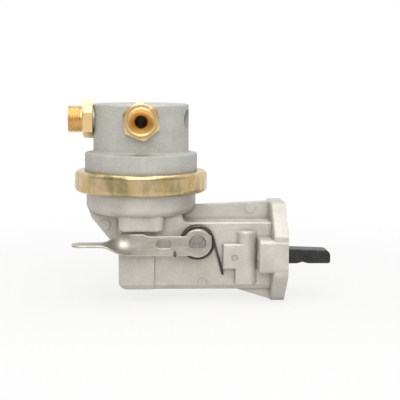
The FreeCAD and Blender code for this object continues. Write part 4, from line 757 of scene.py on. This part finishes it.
@dataclass
class PrimerLever:
    """The stamped priming lever: a flat blank that takes a quarter twist before its thumb pad.

    Sizes are in millimetres from the shaft's axis, along the lever and up. The lever points to negative.

    Attributes:
        shaft: where its shaft's axis meets the middle of the sheet, in the record's frame.
        rounding, rounding_steps: the stamped edge.
        eye, eye_end: the eye's radius, and the angle in degrees where its arc meets the nose.
        nose_foot, nose, nose_end: the corner that stands out of the eye.
        low, high: the strip's edges.
        wide_start, wide_run, wide_high: where the strip widens, over what length and how high.
        twist_start, twist_end: where the twist starts and ends.
        cuts, cut_lead: the crossways cuts that let it bend, and how far before the twist the first one lies.
        tip, tip_round, tip_steps: the pad's end and its round corners.
        slot_centre, slot_reach, slot_half: the slot, with half its straight length and half its height.
        hole, hole_flat, hole_steps: the D-shaped hole's radius and the height of its flat.
        notch, notch_half, notch_depth: the notch in the lower edge, with half its width.
    """

    shaft: Vector
    sheet: float = 1.5
    rounding: float = 0.3
    rounding_steps: int = 2
    eye: float = 9.0
    eye_end: float = 355.0
    nose_foot: tuple[float, float] = (8.8, 0.6)
    nose: tuple[float, float] = (8.8, 4.7)
    nose_end: tuple[float, float] = (2.25, 8.64)
    low: float = -7.9
    high: float = 4.7
    wide_start: float = -31.6
    wide_run: float = 3.1
    wide_high: float = 6.1
    twist_start: float = -39.0
    twist_end: float = -62.0
    cuts: int = 44
    cut_lead: float = 1.0
    tip: float = -80.2
    tip_round: float = 5.6
    tip_steps: int = 10
    slot_centre: float = -21.6
    slot_reach: float = 2.0
    slot_half: float = 3.0
    hole: float = 5.2
    hole_flat: float = -2.6
    hole_steps: int = 40
    notch: float = -14.5
    notch_half: float = 1.05
    notch_depth: float = 0.8

    def arc(self, centre: tuple[float, float], radius: float, start: float, end: float,
            steps: int = 24) -> list[tuple[float, float]]:
        """Gives points along an arc.

        Args:
            centre: its centre.
            radius: its radius.
            start: the first angle in degrees.
            end: the last angle in degrees.
            steps: how many parts it has.

        Returns:
            The points.
        """
        turns = [math.radians(start + (end - start) * i / steps) for i in range(steps + 1)]
        return [(centre[0] + radius * math.cos(turn), centre[1] + radius * math.sin(turn)) for turn in turns]

    def outline(self) -> list[tuple[float, float]]:
        """Gives the blank's outside, from the strip's lower edge round the eye.

        Returns:
            The points.
        """
        low_turn = 180 + math.degrees(math.asin(-self.low / self.eye))
        nose_turn = math.degrees(math.atan2(self.nose_end[1], self.nose_end[0]))
        high_turn = 180 - math.degrees(math.asin(self.high / self.eye))
        pad = self.tip + self.tip_round
        left, right = self.notch - self.notch_half, self.notch + self.notch_half
        notch_high = self.low + self.notch_depth
        points = self.arc((0, 0), self.eye, low_turn, self.eye_end)
        points += [self.nose_foot, self.nose]
        points += self.arc((0, 0), self.eye, nose_turn, high_turn)
        points += [(self.wide_start, self.high), (self.wide_start - self.wide_run, self.wide_high)]
        points += self.arc((pad, self.wide_high - self.tip_round), self.tip_round, 90, 180, self.tip_steps)
        points += self.arc((pad, self.low + self.tip_round), self.tip_round, 180, 270, self.tip_steps)
        points += [(left, self.low), (left, notch_high), (right, notch_high), (right, self.low)]
        return points

    def openings(self) -> list[list[tuple[float, float]]]:
        """Gives the slot and the D-shaped hole.

        Returns:
            The points of each.
        """
        left, right = self.slot_centre - self.slot_reach, self.slot_centre + self.slot_reach
        slot = self.arc((left, 0), self.slot_half, 90, 270) + self.arc((right, 0), self.slot_half, -90, 90)
        turn = math.degrees(math.asin(self.hole_flat / self.hole))
        return [slot, self.arc((0, 0), self.hole, turn, 180 - turn, self.hole_steps)]

    def blank(self) -> bmesh.types.BMesh:
        """Stamps the flat blank with its rounded edges.

        Returns:
            The mesh, in the plane of the lever.
        """
        curve = bpy.data.curves.new("lever_blank", "CURVE")
        curve.dimensions = "2D"
        curve.fill_mode = "BOTH"
        curve.extrude = self.sheet / 2 - self.rounding
        curve.bevel_depth = self.rounding
        curve.bevel_resolution = self.rounding_steps
        curve.offset = -self.rounding
        for points in [self.outline(), *self.openings()]:
            spline = curve.splines.new("POLY")
            spline.points.add(len(points) - 1)
            for point, (across, up) in zip(spline.points, points):
                point.co = (across, up, 0, 1)
            spline.use_cyclic_u = True
        shape = bpy.data.objects.new("lever_blank", curve)
        bpy.context.scene.collection.objects.link(shape)
        mesh = bpy.data.meshes.new_from_object(shape)
        bm = bmesh.new()
        bm.from_mesh(mesh)
        bpy.data.objects.remove(shape)
        bpy.data.curves.remove(curve)
        bpy.data.meshes.remove(mesh)
        bmesh.ops.remove_doubles(bm, verts=bm.verts, dist=2 * TOUCH)
        return bm

    def twist(self, bm: bmesh.types.BMesh) -> None:
        """Cuts the strip crossways and turns it by 90 degrees, softly at both ends of the twist.

        Args:
            bm: the blank.
        """
        first, last = self.twist_start + self.cut_lead, self.tip + self.tip_round
        for i in range(self.cuts + 1):
            bmesh.ops.bisect_plane(
                bm, geom=bm.verts[:] + bm.edges[:] + bm.faces[:], dist=TOUCH / 2,
                plane_co=(first + (last - first) * i / self.cuts, 0, 0), plane_no=(1, 0, 0),
            )
        middle = (self.low + self.wide_high) / 2
        for vert in bm.verts:
            share = (self.twist_start - vert.co.x) / (self.twist_start - self.twist_end)
            share = min(max(share, 0.0), 1.0)
            turn = math.radians(-90 * share * share * (3 - 2 * share))
            up, back = vert.co.y - middle, -vert.co.z
            vert.co.y = middle + back * math.sin(turn) + up * math.cos(turn)
            vert.co.z = -(back * math.cos(turn) - up * math.sin(turn))

    def build(self, material: bpy.types.Material) -> bpy.types.Object:
        """Makes the lever and puts it on its shaft.

        Args:
            material: its plating.

        Returns:
            The lever.
        """
        bm = self.blank()
        self.twist(bm)
        stand = Matrix.Rotation(math.radians(90), 4, "X")
        place = Matrix.Translation(self.shaft * MM) @ stand @ Matrix.Scale(MM, 4)
        bmesh.ops.transform(bm, matrix=place, verts=bm.verts)
        lever = finish_mesh(bm, "primer_lever_stamped", material, angle=40)
        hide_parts("primer_lever")
        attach(lever, "primer")
        return lever


# Studio


@dataclass(frozen=True)
class Lamp:
    """A soft square lamp that points at the pump.

    Attributes:
        place: where it hangs, from the pump's centre, in metres.
        side: its side in metres.
        power: its power in watts.
        mirrored: whether metal shows it.
    """

    name: str
    place: Place
    side: float
    power: float
    mirrored: bool = True

    def hang(self, centre: Vector) -> None:
        """Hangs the lamp.

        Args:
            centre: the pump's centre.
        """
        data = bpy.data.lights.new(self.name, "AREA")
        data.size = self.side
        data.energy = self.power
        lamp = bpy.data.objects.new(self.name, data)
        lamp.location = centre + Vector(self.place)
        lamp.rotation_euler = (-Vector(self.place)).to_track_quat("-Z", "Y").to_euler()
        lamp.visible_glossy = self.mirrored
        bpy.context.scene.collection.objects.link(lamp)


LAMPS = (
    # Soft box over the table
    Lamp("top", (0.0, -0.1, 0.75), side=0.8, power=3.4),
    # Soft box over the camera, which draws the highlights on the ring and the unions
    Lamp("key", (-0.05, -0.69, 0.55), side=0.72, power=4.6),
    # Weak light from the front, which lifts the shaded sides and which no metal mirrors
    Lamp("fill", (0.05, -0.85, 0.1), side=0.7, power=1.8, mirrored=False),
)


@dataclass
class Studio:
    """The floor, the light and the camera. Lengths are in metres.

    Attributes:
        floor_top: the floor's height.
        centre: the pump's centre.
        floor_half: half the floor's side.
        near_white, shadow_span: how white the floor is by the pump, and the distances from the pump between
            which its shadow fades out.
        floor_paper_span: where the floor turns from room to white paper for a mirror, along Y.
        sky_span: the heights between which the soft light turns from low_light to high_light.
        wall_paper_span: the same turn from room to paper as the floor's, by the Y of a direction.
        camera_place, camera_aim, camera_roll: the photograph's camera, its roll in degrees.
        lens, sensor: in millimetres.
    """

    floor_top: float
    centre: Vector
    floor_half: float = 30.0
    floor_tone: str = "#D8D7D4"
    floor_roughness: float = 0.9
    shadow_span: tuple[float, float] = (0.12, 0.4)
    near_white: float = 0.8
    floor_paper_span: tuple[float, float] = (-0.6, -0.2)
    low_light: str = "#918E88"
    high_light: str = "#F8F7F4"
    sky_span: tuple[float, float] = (0.05, 0.75)
    soft_light: float = 0.56
    wall_paper_span: tuple[float, float] = (-0.35, 0.25)
    camera_place: Place = (-0.094, -0.700, 0.116)
    camera_aim: Place = (-0.0550, 0.0, 0.0326)
    camera_roll: float = 0.36
    lens: float = 95.76
    sensor: float = 36.0

    def floor(self) -> None:
        """Lays a pale floor under the pump, which keeps a soft shadow and fades to white paper."""
        bm = bmesh.new()
        bmesh.ops.create_grid(bm, x_segments=1, y_segments=1, size=self.floor_half)
        bmesh.ops.translate(bm, verts=bm.verts, vec=(0, 0, self.floor_top))
        material = bpy.data.materials.new("pale_floor")
        material.use_nodes = True
        tree = material.node_tree
        tree.nodes.clear()
        pale = add_node(
            tree, "BsdfPrincipled",
            {"Base Color": linear(self.floor_tone), "Roughness": self.floor_roughness},
        )
        white = add_node(tree, "Emission", {"Color": linear(WHITE), "Strength": 1.0})
        place = add_node(tree, "TexCoord").outputs["Object"]
        under_pump = (self.centre.x, self.centre.y, self.floor_top)
        away = add_node(tree, "VectorMath", {"operation": "DISTANCE", 1: under_pump}, {0: place})
        start, end = self.shadow_span
        whiteness = add_node(
            tree, "MapRange", {"From Min": start, "From Max": end, "To Min": self.near_white},
            {"Value": away.outputs["Value"]},
        )
        split = add_node(tree, "SeparateXYZ", links={"Vector": place})
        start, end = self.floor_paper_span
        paper = add_node(
            tree, "MapRange", {"From Min": start, "From Max": end}, {"Value": split.outputs["Y"]}
        )
        shown = white_share(tree, paper.outputs["Result"])
        lift = add_node(tree, "Math", {"operation": "MULTIPLY"}, {0: shown, 1: whiteness.outputs["Result"]})
        mix = add_node(
            tree, "MixShader",
            links={0: lift.outputs["Value"], 1: pale.outputs["BSDF"], 2: white.outputs["Emission"]},
        )
        add_node(tree, "OutputMaterial", links={"Surface": mix.outputs["Shader"]})
        finish_mesh(bm, "floor", material)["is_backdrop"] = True

    def world(self) -> None:
        """Gives soft light from all sides and a white background."""
        world = bpy.data.worlds.new("studio")
        bpy.context.scene.world = world
        world.use_nodes = True
        tree = world.node_tree
        tree.nodes.clear()
        place = add_node(tree, "TexCoord")
        split = add_node(tree, "SeparateXYZ", links={"Vector": place.outputs["Generated"]})
        sky = lay_tone(tree, self.low_light, self.high_light, split.outputs["Z"], self.sky_span)
        soft = add_node(tree, "Background", {"Strength": self.soft_light}, {"Color": sky})
        white = add_node(tree, "Background", {"Color": linear(WHITE), "Strength": 1.0})
        start, end = self.wall_paper_span
        paper = add_node(
            tree, "MapRange", {"From Min": start, "From Max": end}, {"Value": split.outputs["Y"]}
        )
        mix = add_node(
            tree, "MixShader",
            links={
                0: white_share(tree, paper.outputs["Result"]),
                1: soft.outputs["Background"],
                2: white.outputs["Background"],
            },
        )
        add_node(tree, "OutputWorld", links={"Surface": mix.outputs["Shader"]})

    def camera(self) -> None:
        """Puts the camera at the photograph's place."""
        data = bpy.data.cameras.new("camera")
        data.sensor_width = self.sensor
        data.lens = self.lens
        camera = bpy.data.objects.new("camera", data)
        camera.location = self.camera_place
        look = (Vector(self.camera_aim) - Vector(self.camera_place)).to_track_quat("-Z", "Y").to_matrix()
        roll = Matrix.Rotation(math.radians(self.camera_roll), 3, "Z")
        camera.rotation_euler = (look @ roll).to_euler()
        bpy.context.scene.collection.objects.link(camera)
        bpy.context.scene.camera = camera

    def build(self) -> None:
        """Sets up floor, light and camera."""
        self.floor()
        self.world()
        for lamp in LAMPS:
            lamp.hang(self.centre)
        self.camera()


def dress_frame(nodes: dict[str, bpy.types.Object], record: dict) -> dict[Metal, bpy.types.Material]:
    """Gives each CAD node the finish of its slot.

    Args:
        nodes: the CAD nodes by name.
        record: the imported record.

    Returns:
        The materials by slot.
    """
    materials = {metal: finish.build() for metal, finish in FINISHES.items()}
    for part in record["subparts"]:
        node = nodes[part["node"]]
        material = materials[Metal(part["material_slot"])]
        if not node.material_slots:
            node.data.materials.append(material)
        for slot in node.material_slots:
            slot.material = material
    return materials


def main() -> None:
    """Builds the dressed pump."""
    logging.basicConfig(level=logging.INFO, format="%(name)s: %(message)s")
    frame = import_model()
    cad_box = [list(corner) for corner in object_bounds()]
    materials = dress_frame(frame["nodes"], frame["record"])
    outlet_seat = Vector((PUMP_AXIS_X, -UNION_REACH, PORT_HEIGHT))
    inlet_seat = Vector((PUMP_AXIS_X - UNION_REACH, 0.0, PORT_HEIGHT))
    lever_shaft = Vector((PRIMER_X, LEVER_MIDDLE_Y, PRIMER_HEIGHT))
    unions = [
        ScrewedUnion("outlet_union", "outlet_fitting", outlet_seat, Vector((0, -1, 0)), hex_turn=8.0),
        ScrewedUnion("inlet_union", "inlet_fitting", inlet_seat, Vector((-1, 0, 0)), hex_turn=-9.0),
    ]
    pieces = [union.build(materials[Metal.BRASS]) for union in unions]
    pieces += [spring.build(frame["nodes"], materials[spring.metal]) for spring in SPRINGS]
    pieces.append(PrimerLever(lever_shaft).build(materials[Metal.LEVER_ZINC]))
    for piece in pieces:
        LOG.info("%s: %d faces", piece.name, len(piece.data.polygons))
    low, high = (Vector(corner) for corner in cad_box)
    floor_gap = 0.2 * MM
    Studio(low.z - floor_gap, (low + high) / 2).build()
    bpy.context.scene.view_settings.view_transform = "Standard"


if __name__ == "__main__":
    main()
